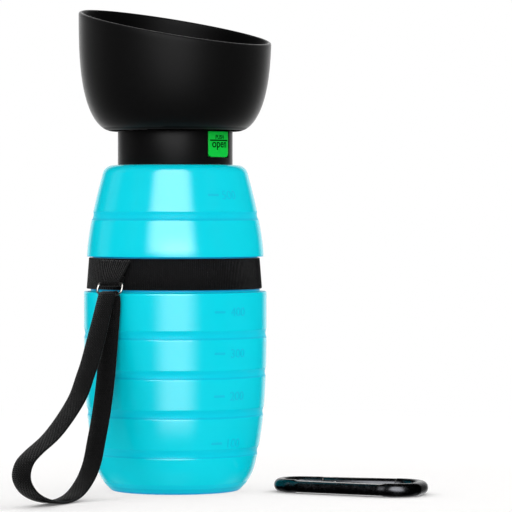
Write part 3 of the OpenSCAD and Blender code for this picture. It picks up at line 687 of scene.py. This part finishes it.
def isInsideBowl(p):
    # nearer the inner face than the outer one
    h = p.z - bowl["bottom"]
    outer = bowlRadius(max(0.0, h), bowl["highRim"] + bowl["above"], bowl["foot"], bowl["rim"])
    return hypot(p.x, p.y) < outer - bowl["insideFrom"] * bowl["wall"] and h > 0.5 * bowl["floor"]


drinkingBowl = addPiece(bowlMesh(), "bowl", "blackSilicone", "drinking_bowl")
# painted shade: darker inside the bowl and along its lower edge, darkest on its underside
dressPart(drinkingBowl, "innerSilicone", lambda p: isInsideBowl(p) or p.z < bowl["bottom"] + bowl["lowEdge"])
dressPart(drinkingBowl, "shadedRubber", lambda p: p.z < bowl["bottom"] + bowl["underside"])
print("bowl made")


# lettering and volume marks that follow a round surface
def wordMesh(word, height, depth, bold=0.0):
    data = bpy.data.curves.new(word, "FONT")
    data.body, data.size, data.align_x = word, 1, "CENTER"
    data.extrude, data.offset, data.resolution_u = 0.1, bold, 4
    holder = newObject(word, data)
    graph = bpy.context.evaluated_depsgraph_get()
    graph.update()
    mesh = bpy.data.meshes.new_from_object(holder.evaluated_get(graph))
    bpy.data.objects.remove(holder)
    bpy.data.curves.remove(data)
    low, high = (Vector([way(v.co[i] for v in mesh.vertices) for i in range(3)]) for way in (min, max))
    size = high - low
    scale = height * mm / size.y
    mesh.transform(Matrix.Diagonal((scale, scale, depth * mm / size.z, 1))
                   @ Matrix.Translation((-low.x - size.x / 2, -low.y - size.y / 2, -low.z)))
    return mesh


def wrapMesh(mesh, radiusAt, angle, height, sink, stretch=1.0):
    # lays a flat mesh on a round surface: x runs round it, y up, z outwards
    for v in mesh.vertices:
        z = height * mm + v.co.y
        radius = radiusAt(z / mm) * mm
        v.co = polar(radius + v.co.z - sink * mm, radians(angle) + v.co.x * stretch / radius, z)
    return mesh


def plateMesh(width, height, depth, radius, columns=10):
    # a small flat plate with round corners, cut into columns so that it can be wrapped
    mesh = bpy.data.meshes.new("plate")
    with opened(mesh) as work:
        work.faces.new([work.verts.new((x * mm, y * mm, 0)) for x, y in roundedBox(width, height, radius, 4)])
        for k in range(1, columns):
            cut(work, ((k / columns - 0.5) * width * mm, 0, 0), (1, 0, 0))
        pushUp(work, depth * mm)
        bmesh.ops.recalc_face_normals(work, faces=work.faces)
    return mesh


marks = {"dashAngle": -22.0, "numberAngle": -8.2, "dashLength": 5.5, "dashHeight": 1.05, "dashRound": 0.35,
         "numberHeight": 4.0, "raised": 0.2, "sink": 0.06, "stretch": 1.02, "sharp": 35,
         "levels": {"100": 23.5, "200": 44.9, "300": 64.2, "400": 82.9, "500": 135.7}}


def volumeMarks():
    raised, sink, meshes = marks["raised"], marks["sink"], []
    for word, z in marks["levels"].items():
        number = wordMesh(word, marks["numberHeight"], raised)
        dash = plateMesh(marks["dashLength"], marks["dashHeight"], raised, marks["dashRound"])
        meshes += [wrapMesh(number, skinRadiusAt, marks["numberAngle"], z, sink, marks["stretch"]),
                   wrapMesh(dash, skinRadiusAt, marks["dashAngle"], z, sink)]
    mesh = joinMeshes("volumeMarks", meshes)
    mesh.set_sharp_from_angle(angle=radians(marks["sharp"]))
    return mesh


# the marks are a darker cyan: painted shade for their relief
addPiece(volumeMarks(), "bottle", "reliefSilicone")
print("volume marks made")


# cap, buttons and what is inside: piece, CAD node, body, slot, finish, width of its broken edges and their segments
shownParts = (
    ("capShell", "cap_shell", "cap", "black_plastic", "blackPlastic", 0.35, 2),
    ("openButton", "open_button", "valve", "green_plastic", "greenPlastic", 0.45, 3),
    ("closeButton", "close_button", "valve", "red_plastic", "redPlastic", 0.45, 3),
)
innerParts = (
    ("spoutHead", "spout", "cap", "black_plastic", "blackPlastic", 0.15, 2),
    ("valveBlock", "valve_block", "cap", "clear_grey_plastic", "greyPlastic", 0.2, 2),
    ("valveSlide", "valve_slide", "valve", "clear_grey_plastic", "greyPlastic", 0.12, 2),
    ("dipTube", "dip_tube", "lift", "white_plastic", "whitePlastic", 0.15, 2),
    ("mouthRing", "mouth_ring", "bottle", "white_plastic", "whitePlastic", 0.25, 2),
    ("capGasket", "cap_gasket", "lift", "seal_rubber", "sealRubber", 0.25, 2),
    ("carabinerGate", "carabiner_gate", "gate", "black_anodised", "anodised", 0.3, 2),
)

# the buttons' print: a rule with a small word over it and a larger one under it
label = {"radius": 26.4, "wordHeight": 3.7, "smallWord": 1.85, "raised": 0.09, "sink": 0.04, "bold": 0.012,
         "smallAt": 162.1, "ruleAt": 160.6, "wordAt": 158.0, "ruleLong": 12.6, "ruleHigh": 0.6, "ruleRound": 0.1,
         "openAngle": -0.2, "closeAngle": 180, "pushedIn": 5.5}


def addSoftened(rows):
    for name, node, bodyName, slotName, finish, width, segments in rows:
        keepPiece(softenedNode(name, node, width, segments), bodyName, finish, node)


def buttonPrint(name, small, large, angle, shift):
    raised = label["raised"]
    parts = [(wordMesh(small, label["smallWord"], raised, label["bold"]), label["smallAt"]),
             (wordMesh(large, label["wordHeight"], raised, label["bold"]), label["wordAt"]),
             (plateMesh(label["ruleLong"], label["ruleHigh"], raised, label["ruleRound"]), label["ruleAt"])]
    mesh = joinMeshes(name, [wrapMesh(m, lambda z: label["radius"], angle, z, label["sink"]) for m, z in parts])
    mesh.transform(Matrix.Translation((shift * mm, 0, 0)))
    addPiece(mesh, "valve", "print")


addSoftened(shownParts)
buttonPrint("openPrint", "PUSH", "open", label["openAngle"], 0)
buttonPrint("closePrint", "PUSH", "shut", label["closeAngle"], label["pushedIn"])
addSoftened(innerParts)
for node, finish in (("spout_washer", "sealRubber"), ("slide_seals", "sealRubber"), ("gate_plunger", "springSteel"),
                     ("gate_spring", "springSteel"), ("gate_pin", "springSteel")):
    dress(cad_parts[node], finish)

# screw threads: a ridge round the plug and one in the mouth ring, half a turn apart and clear of each other
thread = {"pitch": 4.0, "turns": 2.1, "high": 0.6, "wide": 1.7, "root": 0.2, "steps": 72, "runOut": 9,
          "plug": 21.2, "plugLow": 140.4, "bore": 22.5, "boreLow": 138.4}


def threadMesh(name, radius, low, way):
    steps, root, half, runOut = thread["steps"], thread["root"], thread["wide"] / 2, thread["runOut"]
    count = round(thread["turns"] * steps)
    path, across, sections = [], [], []
    for i in range(count + 1):
        path.append(polar(radius, turn * i / steps, low + thread["pitch"] * i / steps))
        across.append(polar(way, turn * i / steps))
        rise = thread["high"] * min(1, i / runOut, (count - i) / runOut)
        sections.append([(-root, -half), (0, -half), (rise, -half / 2), (rise, half / 2), (0, half), (-root, half)])
    return tidyMesh(sweepMesh(name, path, sections, across), sharp=30)


addPiece(threadMesh("plugThread", thread["plug"], thread["plugLow"], 1), "cap", "greyPlastic")
addPiece(threadMesh("ringThread", thread["bore"], thread["boreLow"], -1), "bottle", "whitePlastic")
print("cap made")


# elastic band with its ribs
band = {"low": 92.75, "high": 106.95, "lowRadius": 39.95, "highRadius": 38.85, "thick": 1.5, "inset": 0.16,
        "edge": 0.35, "innerEdge": 0.2, "segments": 180, "ribs": 270, "ribWidth": 0.66, "ribHeight": 0.5,
        "ribEnds": 0.7}
bandLow, bandHigh = Vector((band["lowRadius"], band["low"])), Vector((band["highRadius"], band["high"]))
bandMiddle = (bandLow + bandHigh) / 2
bandWay = (bandHigh - bandLow).normalized()


def bandMesh():
    low, high, lowRadius, highRadius, thick = pick(band, "low high lowRadius highRadius thick")
    inset, edge, innerEdge = pick(band, "inset edge innerEdge")
    profile = roundedProfile([(lowRadius - inset, low, edge), (highRadius - inset, high, edge),
                              (highRadius - thick, high, innerEdge), (lowRadius - thick, low, innerEdge)])
    return tidyMesh(latheMesh("elasticBand", profile, band["segments"]), merge=1e-7, sharp=50)


def bandRibs():
    spots = []
    for i in range(band["ribs"]):
        out = polar(1, turn * i / band["ribs"])
        spot = out * (bandMiddle.x - band["ribHeight"] / 2) + upward * bandMiddle.y
        spots.append((spot, out * bandWay.x + upward * bandWay.y, out))
    length = band["high"] - band["low"] - band["ribEnds"]
    return growRow("bandRibs", barTree, spots, (band["ribHeight"], band["ribWidth"], length), "elastic")


# the band under its ribs is darker: painted shade between the ribs
addPiece(bandMesh(), "bottle", "elasticGap", "elastic_band")
keepPiece(bandRibs(), "bottle")
print("band made")


# ring tab, D-ring and wrist strap share the ring's own frame: out from the bottle, sideways, up
ring = {"angle": -93.0, "x": 42.95, "z": 95.85, "wire": 0.5, "halfWidth": 7.0, "drop": 5.6, "bend": 2.8, "bow": 0.55,
        "topBend": 0.95, "lean": 20.0, "sides": 16, "bendSteps": 10, "sideSteps": 6}
ringOut = polar(1, radians(ring["angle"]))
ringSide = Vector((-ringOut.y, ringOut.x, 0))
ringLean = radians(ring["lean"])


def ringPoint(out, side, z):
    return ringOut * out + ringSide * side + upward * z


def dRingMesh():
    half, drop, low, top, wire, sides = pick(ring, "halfWidth drop bend topBend wire sides")
    flat, spots = [], []
    for x, y, radius, start in ((half - top, -top, top, 90), (half - low, low - drop, low, 0),
                                (low - half, low - drop, low, -90), (top - half, -top, top, -180)):
        flat += arc(Vector((x, y)), radius, radians(start), radians(start - 90), ring["bendSteps"])
    for here, after in zip(flat, flat[1:] + flat[:1]):
        steps = ring["sideSteps"] if (after - here).length > 1.5 else 1
        for x, y in (here.lerp(after, k / steps) for k in range(steps)):
            bowed = x * (1 + ring["bow"] / half * (1 - (2 * y / drop + 1) ** 2))
            spots.append(ringPoint(ring["x"] - y * sin(ringLean), bowed, ring["z"] + y * cos(ringLean)))
    section = [polar(wire, turn * k / sides).xy for k in range(sides)]
    flatWay = ringOut * cos(ringLean) + upward * sin(ringLean)
    return tidyMesh(sweepMesh("dRing", spots, section, [flatWay] * len(spots), closed=True), merge=1e-7)


addPiece(dRingMesh(), "ring", "nickel", "d_ring")

tab = {"thick": 1.1, "topWidth": 18.0, "lowWidth": 11.4, "ribs": 13, "ribDepth": 0.34, "columns": 8, "sewAt": 106.0,
       "backTo": 99.0, "seam": 96.7, "ringGap": 0.05, "frontGap": 0.12, "backGap": 0.15, "folded": 195, "steps": 16,
       "backSteps": 6, "edgeShare": 0.35, "edgeColumns": 4, "fallFrom": 0.32, "fall": 0.9}


def tabPath():
    # centre line of the tape, from the sewn edge down round the bar and back up behind
    half, steps = tab["thick"] / 2, tab["steps"]
    loop = ring["wire"] + tab["ringGap"] + half
    top = Vector((band["highRadius"] + half + tab["frontGap"], tab["sewAt"]))
    centre = Vector((ring["x"], ring["z"]))
    toTop = top - centre
    lean = atan2(toTop.y, toTop.x) - acos(loop / toTop.length)
    fold = arc(centre, loop, lean, lean - radians(tab["folded"]), steps)
    seat = bandLow.lerp(bandHigh, (tab["backTo"] - band["low"]) / (band["high"] - band["low"])).x
    back = Vector((seat + half + tab["backGap"], tab["backTo"]))
    return [*(top.lerp(fold[0], k / steps) for k in range(steps)), *fold,
            *(fold[-1].lerp(back, k / tab["backSteps"]) for k in range(1, tab["backSteps"] + 1))]


def setUv(mesh, layers):
    uv = mesh.uv_layers.new(name="tape")
    for loop in mesh.loops:
        uv.data[loop.index].uv = layers[loop.vertex_index]


def tabMesh():
    ribs, depth, steps, lowWidth, topWidth, thin = pick(tab, "ribs ribDepth steps lowWidth topWidth edgeShare")
    line, total = tabPath(), ribs * tab["columns"]
    points, faces, layers, run, row = [], [], [], 0.0, total + 1
    for i, (p, heading) in enumerate(zip(line, headings(line))):
        out = Vector((-heading.y, heading.x))
        run += (p - line[i - 1]).length if i else 0
        share = max(0.0, min(1.0, (p.y - ring["z"]) / (tab["sewAt"] - ring["z"])))
        width = lowWidth + (topWidth - lowWidth) * share if i <= steps else lowWidth
        for side in (1, -1):
            for k in range(row):
                across = k / total - 0.5
                rib = abs(sin(pi * ribs * (across + 0.5))) * depth
                edge = min(1.0, (0.5 - abs(across)) * total / tab["edgeColumns"])
                thick = (tab["thick"] / 2 - depth + rib) * (thin + (1 - thin) * sqrt(edge))
                fall = tab["fall"] * max(0.0, abs(across) - tab["fallFrom"]) * (1 - share) if i < steps else 0
                q = p + out * side * thick
                points.append(ringPoint(q.x - fall, across * width, q.y))
                layers.append((run * mm, (across + 0.5) * topWidth * mm))
    for a in range(0, (len(line) - 1) * 2 * row, 2 * row):
        b = a + 2 * row
        for k in range(total):
            faces += [[a + k, b + k, b + k + 1, a + k + 1],
                      [a + row + k, a + row + k + 1, b + row + k + 1, b + row + k]]
        faces += [[a, a + row, b + row, b], [a + total, b + total, b + row + total, a + row + total]]
    for a in (0, (len(line) - 1) * 2 * row):
        faces += [[a + k, a + k + 1, a + row + k + 1, a + row + k] for k in range(total)]
    mesh = meshFrom("ringTab", points, faces)
    setUv(mesh, layers)
    return tidyMesh(mesh)


ringTab = addPiece(tabMesh(), "bottle", "ribbedTape", "ring_tab")
# painted shade on the tab below the seam, where it folds round the bar
dressPart(ringTab, "tapeGap", lambda p: p.z < tab["seam"])

stitches = {"fromEdge": (0.9, 2.0), "inset": 1.6, "shift": 0.4, "each": 9, "sunk": 0.05, "size": (0.42, 0.42, 1.3)}


def tabStitches():
    sewAt, topWidth, lowWidth = pick(tab, "sewAt topWidth lowWidth")
    spots, last, line = [], stitches["each"] - 1, tabPath()
    for row, z in enumerate((*(sewAt - down for down in stitches["fromEdge"]), tab["seam"])):
        width = topWidth - (topWidth - lowWidth) * (sewAt - z) / (sewAt - ring["z"]) - stitches["inset"]
        x = next(p.x for p in line if p.y <= z) + tab["thick"] / 2 - stitches["sunk"]
        sides = [(k / last - 0.5) * width + (stitches["shift"] if row else 0) for k in range(last + 1)]
        spots += [(ringPoint(x, side, z), ringSide, ringOut) for side in sides]
    return growRow("tabStitches", beadTree, spots, stitches["size"], "thread")


keepPiece(tabStitches(), "bottle")

overlap = {"thick": 0.85, "sunk": 0.3, "edge": 0.3, "from": -168.0, "to": -96.0, "rib": 1.4, "ribDepth": 0.3,
           "columns": 8}


def overlapMesh():
    # the elastic's own end, doubled over the band from behind up to the tab
    half, sunk, edge = (bandHigh - bandLow).length / 2, overlap["sunk"], overlap["edge"]
    start, span = radians(overlap["from"]), radians(overlap["to"] - overlap["from"])
    count = round(span * bandMiddle.x / overlap["rib"]) * overlap["columns"]
    path, across, sections = [], [], []
    for i in range(count + 1):
        out = polar(1, start + span * i / count)
        path.append(out * bandMiddle.x + upward * bandMiddle.y)
        across.append(out * bandWay.y - upward * bandWay.x)
        hollow = (1 - abs(sin(pi * i / overlap["columns"]))) * overlap["ribDepth"]
        outer = overlap["thick"] - hollow
        corners = [(-sunk, -half, 0), (outer, -half, edge), (outer, half, edge), (-sunk, half, 0)]
        sections.append(roundedProfile(corners))
    mesh = sweepMesh("bandOverlap", path, sections, across)
    pitch = span * bandMiddle.x / count * mm
    setUv(mesh, [(u * mm, i * pitch) for i in range(count + 1) for _, u in sections[i]])
    return tidyMesh(mesh)


addPiece(overlapMesh(), "bottle", "ribbedTape")
print("ring and tab made")


# the strap's route in mm: out, sideways and up, from the ring's bar at both ends and on the floor between
strap = {
    "width": 10.0, "thick": 1.2, "thinner": 0.12, "edge": 0.3, "ringGap": 0.08, "floorGap": 0.05, "lowest": 0.9,
    "loopAngle": -80.0, "turnHigh": -3.0, "turnLow": 4.0, "turnOver": 26.0, "rowPitch": 0.85, "rowWidth": 0.62,
    "rowHeight": 1.2, "rowEnds": 0.7, "steps": 10,
    "hanging": [(2.4, 0.3, -3.0), (5.3, 0.1, -12)],
    "loop": [(14, -0.6, 63), (19.2, -0.6, 55), (25.6, -0.4, 46.5), (36.6, 0, 38), (49.4, 0, 30), (63.8, 0, 24),
             (71, 0, 20), (73.8, 0, 15), (72, 0, 10.5), (66, 0, 6), (56, 0, 2.6), (43.4, 0, 0.9), (31, 0, 2.6),
             (21.4, 0, 8), (14.7, 0, 15.5), (10.6, 0, 25.5), (6.8, 0.4, 38), (3, 0.4, 53), (0, 0.1, 68)],
}
barOut = ring["x"] + ring["drop"] * sin(ringLean)
barHeight = ring["z"] - ring["drop"] * cos(ringLean)


def strapRoute():
    fold = ring["wire"] + strap["thick"] / 2 + strap["ringGap"]
    ends = [(0, 0.4, fold), (fold, 0.4, 0.3), *strap["hanging"], (-fold - 0.2, 0.9, -6), (-fold, 0.9, -0.4)]
    route = [ringOut * (barOut + a) + ringSide * b + upward * (barHeight + c) for a, b, c in ends]
    lift = strap["thick"] / 2 + strap["floorGap"] - strap["lowest"]
    out = polar(1, radians(strap["loopAngle"]))
    side = Vector((-out.y, out.x, 0))
    loop = [ringOut * barOut + out * a + side * b + upward * (c + lift) for a, b, c in strap["loop"]]
    return route[:-2] + loop + route[-2:]


def smoothLoop(points, steps):
    found, count = [], len(points)
    for i in range(count):
        a, b, c, d = points[i - 1], points[i], points[(i + 1) % count], points[(i + 2) % count]
        for t in (k / steps for k in range(steps)):
            found.append(0.5 * (2 * b + (c - a) * t + (2 * a - 5 * b + 4 * c - d) * t * t
                                + (3 * b - a - 3 * c + d) * t ** 3))
    return found


def strapPath(pitch):
    # points at an even pitch round the loop, and the loop's length
    points = smoothLoop(strapRoute(), strap["steps"])
    after = points[1:] + points[:1]
    lengths = [(b - a).length for a, b in zip(points, after)]
    total = sum(lengths)
    count = round(total / pitch)
    found, i, run = [], 0, 0.0
    for k in range(count):
        at = total * k / count
        while run + lengths[i] < at:
            run += lengths[i]
            i += 1
        found.append(points[i].lerp(after[i], (at - run) / lengths[i]))
    return found, total


def strapAcross(p):
    share = eased((barHeight - p.z) / strap["turnOver"])
    return polar(1, radians(strap["turnHigh"] + (strap["turnLow"] - strap["turnHigh"]) * share))


def strapMesh():
    path, total = strapPath(1.0)
    outline = roundedBox(strap["width"], strap["thick"] - 2 * strap["thinner"], strap["edge"], 3)
    mesh = sweepMesh("wristStrap", path, outline, [strapAcross(p) for p in path], closed=True)
    sides, step = len(outline), total / len(path) * mm
    uv = mesh.uv_layers.new(name="tape")
    for face in mesh.polygons:
        spots = [(i, *divmod(mesh.loops[i].vertex_index, sides)) for i in face.loop_indices]
        rows = [row for _, row, _ in spots]
        wraps = max(rows) - min(rows) > 2
        for i, row, k in spots:
            uv.data[i].uv = ((row + (len(path) if wraps and row == 0 else 0)) * step, outline[k].x * mm)
    print("strap length round its loop, mm:", round(total, 1))
    return tidyMesh(mesh)


def strapRows():
    path, spots = strapPath(strap["rowPitch"])[0], []
    for p, heading in zip(path, headings(path, closed=True)):
        across = strapAcross(p)
        across = (across - heading * across.dot(heading)).normalized()
        spots.append((p, across, heading.cross(across).normalized()))
    size = (strap["rowHeight"], strap["rowWidth"], strap["width"] - strap["rowEnds"])
    return growRow("strapRows", barTree, spots, size, "tape")


# the strap under its rows is darker: painted shade between the rows
addPiece(strapMesh(), "strap", "tapeGap", "wrist_strap")
keepPiece(strapRows(), "strap")
print("strap made")


# carabiner: a rod bent round three corners, with a flat spine
carabiner = {"rod": 3.1, "lowBend": 9.2, "gateBend": 12.4, "spineBend": 8.8, "gateReach": 44.6, "spineReach": 48.6,
             "gateLean": 90.6, "spineLean": 82.2, "gateLength": 31.0, "nose": 1.5, "tipGap": 0.4, "footGap": 3.45,
             "panelHalf": 2.5, "panelEnd": (0.03, 0.035), "swell": 0.45, "sides": 32, "spineSteps": 30,
             "place": (51.54, 27.775), "turned": -72.0}


def beltAngle(a, ra, b, rb):
    v = b - a
    return atan2(v.y, v.x) + asin((ra - rb) / v.length) - pi / 2


def around(centre, radius, angle):
    return centre + polar(radius, angle).xy


def toFloor(point, height):
    along = polar(1, radians(carabiner["turned"])).xy
    at = Vector(carabiner["place"]) + along * point.x + Vector((-along.y, along.x)) * point.y
    return Vector((*at, carabiner["rod"] + height))


lowBend, gateBend, spineBend, nose = pick(carabiner, "lowBend gateBend spineBend nose")
lowCentre = Vector((0, 0))
spineCentre = around(lowCentre, carabiner["spineReach"], radians(carabiner["spineLean"]))
gateCentre = around(lowCentre, carabiner["gateReach"], radians(carabiner["gateLean"]))
spineAngle = beltAngle(lowCentre, lowBend, spineCentre, spineBend)
topAngle = beltAngle(spineCentre, spineBend, gateCentre, gateBend)
gateAngle = beltAngle(gateCentre, gateBend, lowCentre, lowBend)
gateTop = around(gateCentre, gateBend, gateAngle)
gateWay = (around(lowCentre, lowBend, gateAngle) - gateTop).normalized()
pinAt = gateTop + gateWay * (nose + carabiner["tipGap"] + carabiner["gateLength"])


def arcPath(centre, radius, start, end, steps):
    return [(point, 0.0) for point in arc(centre, radius, start, start + (end - start) % turn, steps)]


def carabinerPath():
    # points of the rod's centre line, each with its share of the flat panel
    spineLow, spineHigh = around(lowCentre, lowBend, spineAngle), around(spineCentre, spineBend, spineAngle)
    (start, ease), steps = carabiner["panelEnd"], carabiner["spineSteps"]
    spine = [(spineLow.lerp(spineHigh, t), eased((min(t, 1 - t) - start) / ease))
             for t in (i / steps for i in range(1, steps))]
    return [(pinAt + gateWay * carabiner["footGap"], 0.0), *arcPath(lowCentre, lowBend, gateAngle, spineAngle, 30),
            *spine, *arcPath(spineCentre, spineBend, spineAngle, topAngle, 18),
            *arcPath(gateCentre, gateBend, topAngle, gateAngle, 20), (gateTop + gateWay * nose, 0.0)]


def rodSection(flat):
    rod, sides = carabiner["rod"], carabiner["sides"]
    limit = rod + (carabiner["panelHalf"] - rod) * flat
    outline = [polar(rod + carabiner["swell"] * flat, turn * (k + 0.5) / sides) for k in range(sides)]
    return [(p.x, max(-limit, min(limit, p.y))) for p in outline]


def carabinerMesh():
    line = carabinerPath()
    across = [toFloor(Vector((way.y, -way.x)), 0) - toFloor(lowCentre, 0) for way in headings([p for p, _ in line])]
    sections = [rodSection(flat) for _, flat in line]
    return tidyMesh(sweepMesh("carabinerBody", [toFloor(p, 0) for p, _ in line], sections, across), sharp=35)


# the blade that carries the gate at its pin, and the one that its tip shuts on: reach at each end, low and high side
tongues = {"half": 1.1, "edge": 0.2, "pin": (1.0, 2.0, -1.6, 1.6), "tip": (2.4, 0.9, -0.8, 1.8)}


def carabinerTongues():
    side, meshes, tip = Vector((-gateWay.y, gateWay.x)), [], carabiner["gateLength"]
    for start, end, (before, after, low, high) in ((-carabiner["footGap"], 0, tongues["pin"]),
                                                   (tip, tip, tongues["tip"])):
        x0, x1 = start - before, end + after
        mesh = bpy.data.meshes.new("tongue")
        with opened(mesh) as work:
            work.faces.new([work.verts.new(toFloor(pinAt - gateWay * x - side * y, -tongues["half"]) * mm)
                            for x, y in ((x0, low), (x1, low), (x1, high), (x0, high))])
            pushUp(work, 2 * tongues["half"] * mm)
            bmesh.ops.bevel(work, geom=work.edges[:], offset=tongues["edge"] * mm, segments=2, affect="EDGES")
            bmesh.ops.recalc_face_normals(work, faces=work.faces)
        meshes.append(mesh)
    return joinMeshes("carabinerTongues", meshes)


addPiece(carabinerMesh(), "carabiner", "anodised", "carabiner_body")
addPiece(carabinerTongues(), "carabiner", "anodised")
print("carabiner made")


# floor, light and background
studio = {
    "floor": 1300.0, "floorDrop": 0.1, "floorColour": (1.0, 0.99, 0.985), "nearFloor": 0.16, "farFloor": 0.6,
    "floorGlow": 0.1, "dark": 0.004, "behind": 1.0, "behindFrom": 0.78, "behindTo": 0.94, "under": 0.35,
    "underFrom": 0.0, "underTo": 0.6, "lowFrom": 22.0, "lowTo": 42.0,
    "towardsCamera": (0.6157, -0.788, 0.0), "towardsRight": (0.788, 0.6157, 0.0),
}
# soft panels seen in the gloss: azimuth from the camera, half width and its edge, then the same upwards, strength
panels = (
    (2.5, 21.0, 13.0, -2.0, 15.5, 4.0, 4.1),  # in front
    (-4.5, 29.5, 8.0, 34.5, 28.5, 5.0, 6.9),  # in front, high
    (0.0, 30.0, 14.0, -62.0, 24.0, 8.0, 0.12),  # in front, low
    (-107.0, 12.0, 6.0, 14.0, 22.0, 8.0, 0.34),  # the streak at the left
)
# even light, left out of the gloss: suns by height, turn from the camera's side, width and strength
fills = (
    ("rightFrontFill", 22.0, 30.0, 70.0, 0.84), ("rightFill", 22.0, 90.0, 70.0, 0.96),
    ("rightBackFill", 22.0, 150.0, 70.0, 0.9), ("leftBackFill", 22.0, -150.0, 70.0, 0.9),
    ("leftFill", 22.0, -90.0, 70.0, 0.84), ("leftFrontFill", 22.0, -30.0, 70.0, 1.02),
    ("frontFill", 12.0, 0.0, 60.0, 0.1), ("aboveFill", 90.0, 0.0, 110.0, 1.15),
)


def vectorNode(tree, operation, *values):
    item = addNode(tree, "ShaderNodeVectorMath", dict(enumerate(values)), operation=operation)
    return Wire(tree, item, "Value")


def smoothStep(value, low, high):
    return wired(value.tree, "ShaderNodeMapRange", {"Value": value, "From Min": low, "From Max": high},
                 interpolation_type="SMOOTHSTEP")


def floorMaterial():
    # it glows towards its far edge, for the rays that see the background: the camera's, and gloss and glass
    material, tree, shader = newMaterial("floor", studio["floorColour"], 0.9, specular=0.0)
    rays = addNode(tree, "ShaderNodeLightPath")
    shown, gloss, glass = (Wire(tree, rays, "Is %s Ray" % kind) for kind in ("Camera", "Glossy", "Transmission"))
    shown = shown.calc("MAXIMUM", gloss).calc("MAXIMUM", glass)
    reach = vectorNode(tree, "LENGTH", coordinates(tree))
    far = smoothStep(reach, studio["nearFloor"], studio["farFloor"]).calc("MAXIMUM", studio["floorGlow"])
    glow = wired(tree, "ShaderNodeEmission", {"Color": (1, 1, 1, 1)})
    mixed = wired(tree, "ShaderNodeMixShader", {0: far * shown, 1: Wire(tree, shader), 2: glow})
    feed(tree, tree.nodes["Material Output"].inputs["Surface"], mixed)
    return material


def makeWorld():
    world = bpy.data.worlds.new("studio")
    scene.world = world
    world.use_nodes = True
    world.cycles_visibility.diffuse = False
    tree = world.node_tree
    way = coordinates(tree, "Generated")
    ahead, aside, rise = (vectorNode(tree, "DOT_PRODUCT", way, direction)
                          for direction in (studio["towardsCamera"], studio["towardsRight"], (0, 0, 1)))
    azimuth = aside.calc("ARCTAN2", ahead) * (180 / pi)
    height = rise.calc("ARCSINE") * (180 / pi)
    away = ahead * -1.0
    behind = smoothStep(away, studio["behindFrom"], studio["behindTo"])
    under = smoothStep(height * -1.0, studio["lowFrom"], studio["lowTo"]) * smoothStep(
        away, studio["underFrom"], studio["underTo"])
    gloss = behind * studio["behind"] + studio["dark"] + under * studio["under"]
    for centre, wide, sideEdge, middle, tall, topEdge, strength in panels:
        sideways, upright = (azimuth - centre).calc("ABSOLUTE"), (height - middle).calc("ABSOLUTE")
        across = 1.0 - smoothStep(sideways, wide - sideEdge, wide + sideEdge)
        gloss += across * (1.0 - smoothStep(upright, tall - topEdge, tall + topEdge)) * strength
    seen = Wire(tree, addNode(tree, "ShaderNodeLightPath"), "Is Camera Ray")
    back = tree.nodes["Background"]
    back.inputs[0].default_value = (1, 1, 1, 1)
    feed(tree, back.inputs[1], seen + (1.0 - seen) * gloss)


def makeStudio():
    half = studio["floor"] / 2
    corners = [(-half, -half, 0), (half, -half, 0), (half, half, 0), (-half, half, 0)]
    floor = newObject("floor", meshFrom("floor", corners, [[0, 1, 2, 3]], smooth=False))
    floor.location.z = -studio["floorDrop"] * mm
    floor.data.materials.append(floorMaterial())
    floor.visible_glossy = False
    for name, height, aside, width, strength in fills:
        data = bpy.data.lights.new(name, "SUN")
        data.angle, data.energy = radians(width), strength
        holder = newObject(name, data)
        holder.visible_glossy = False
        rise = radians(height)
        holder.location = polar(cos(rise), radians(camera["azimuth"] + aside), sin(rise))
        holder.rotation_euler = holder.location.to_track_quat("Z", "Y").to_euler()


makeWorld()
makeStudio()
scene.view_settings.view_transform = "Standard"
print("studio made")
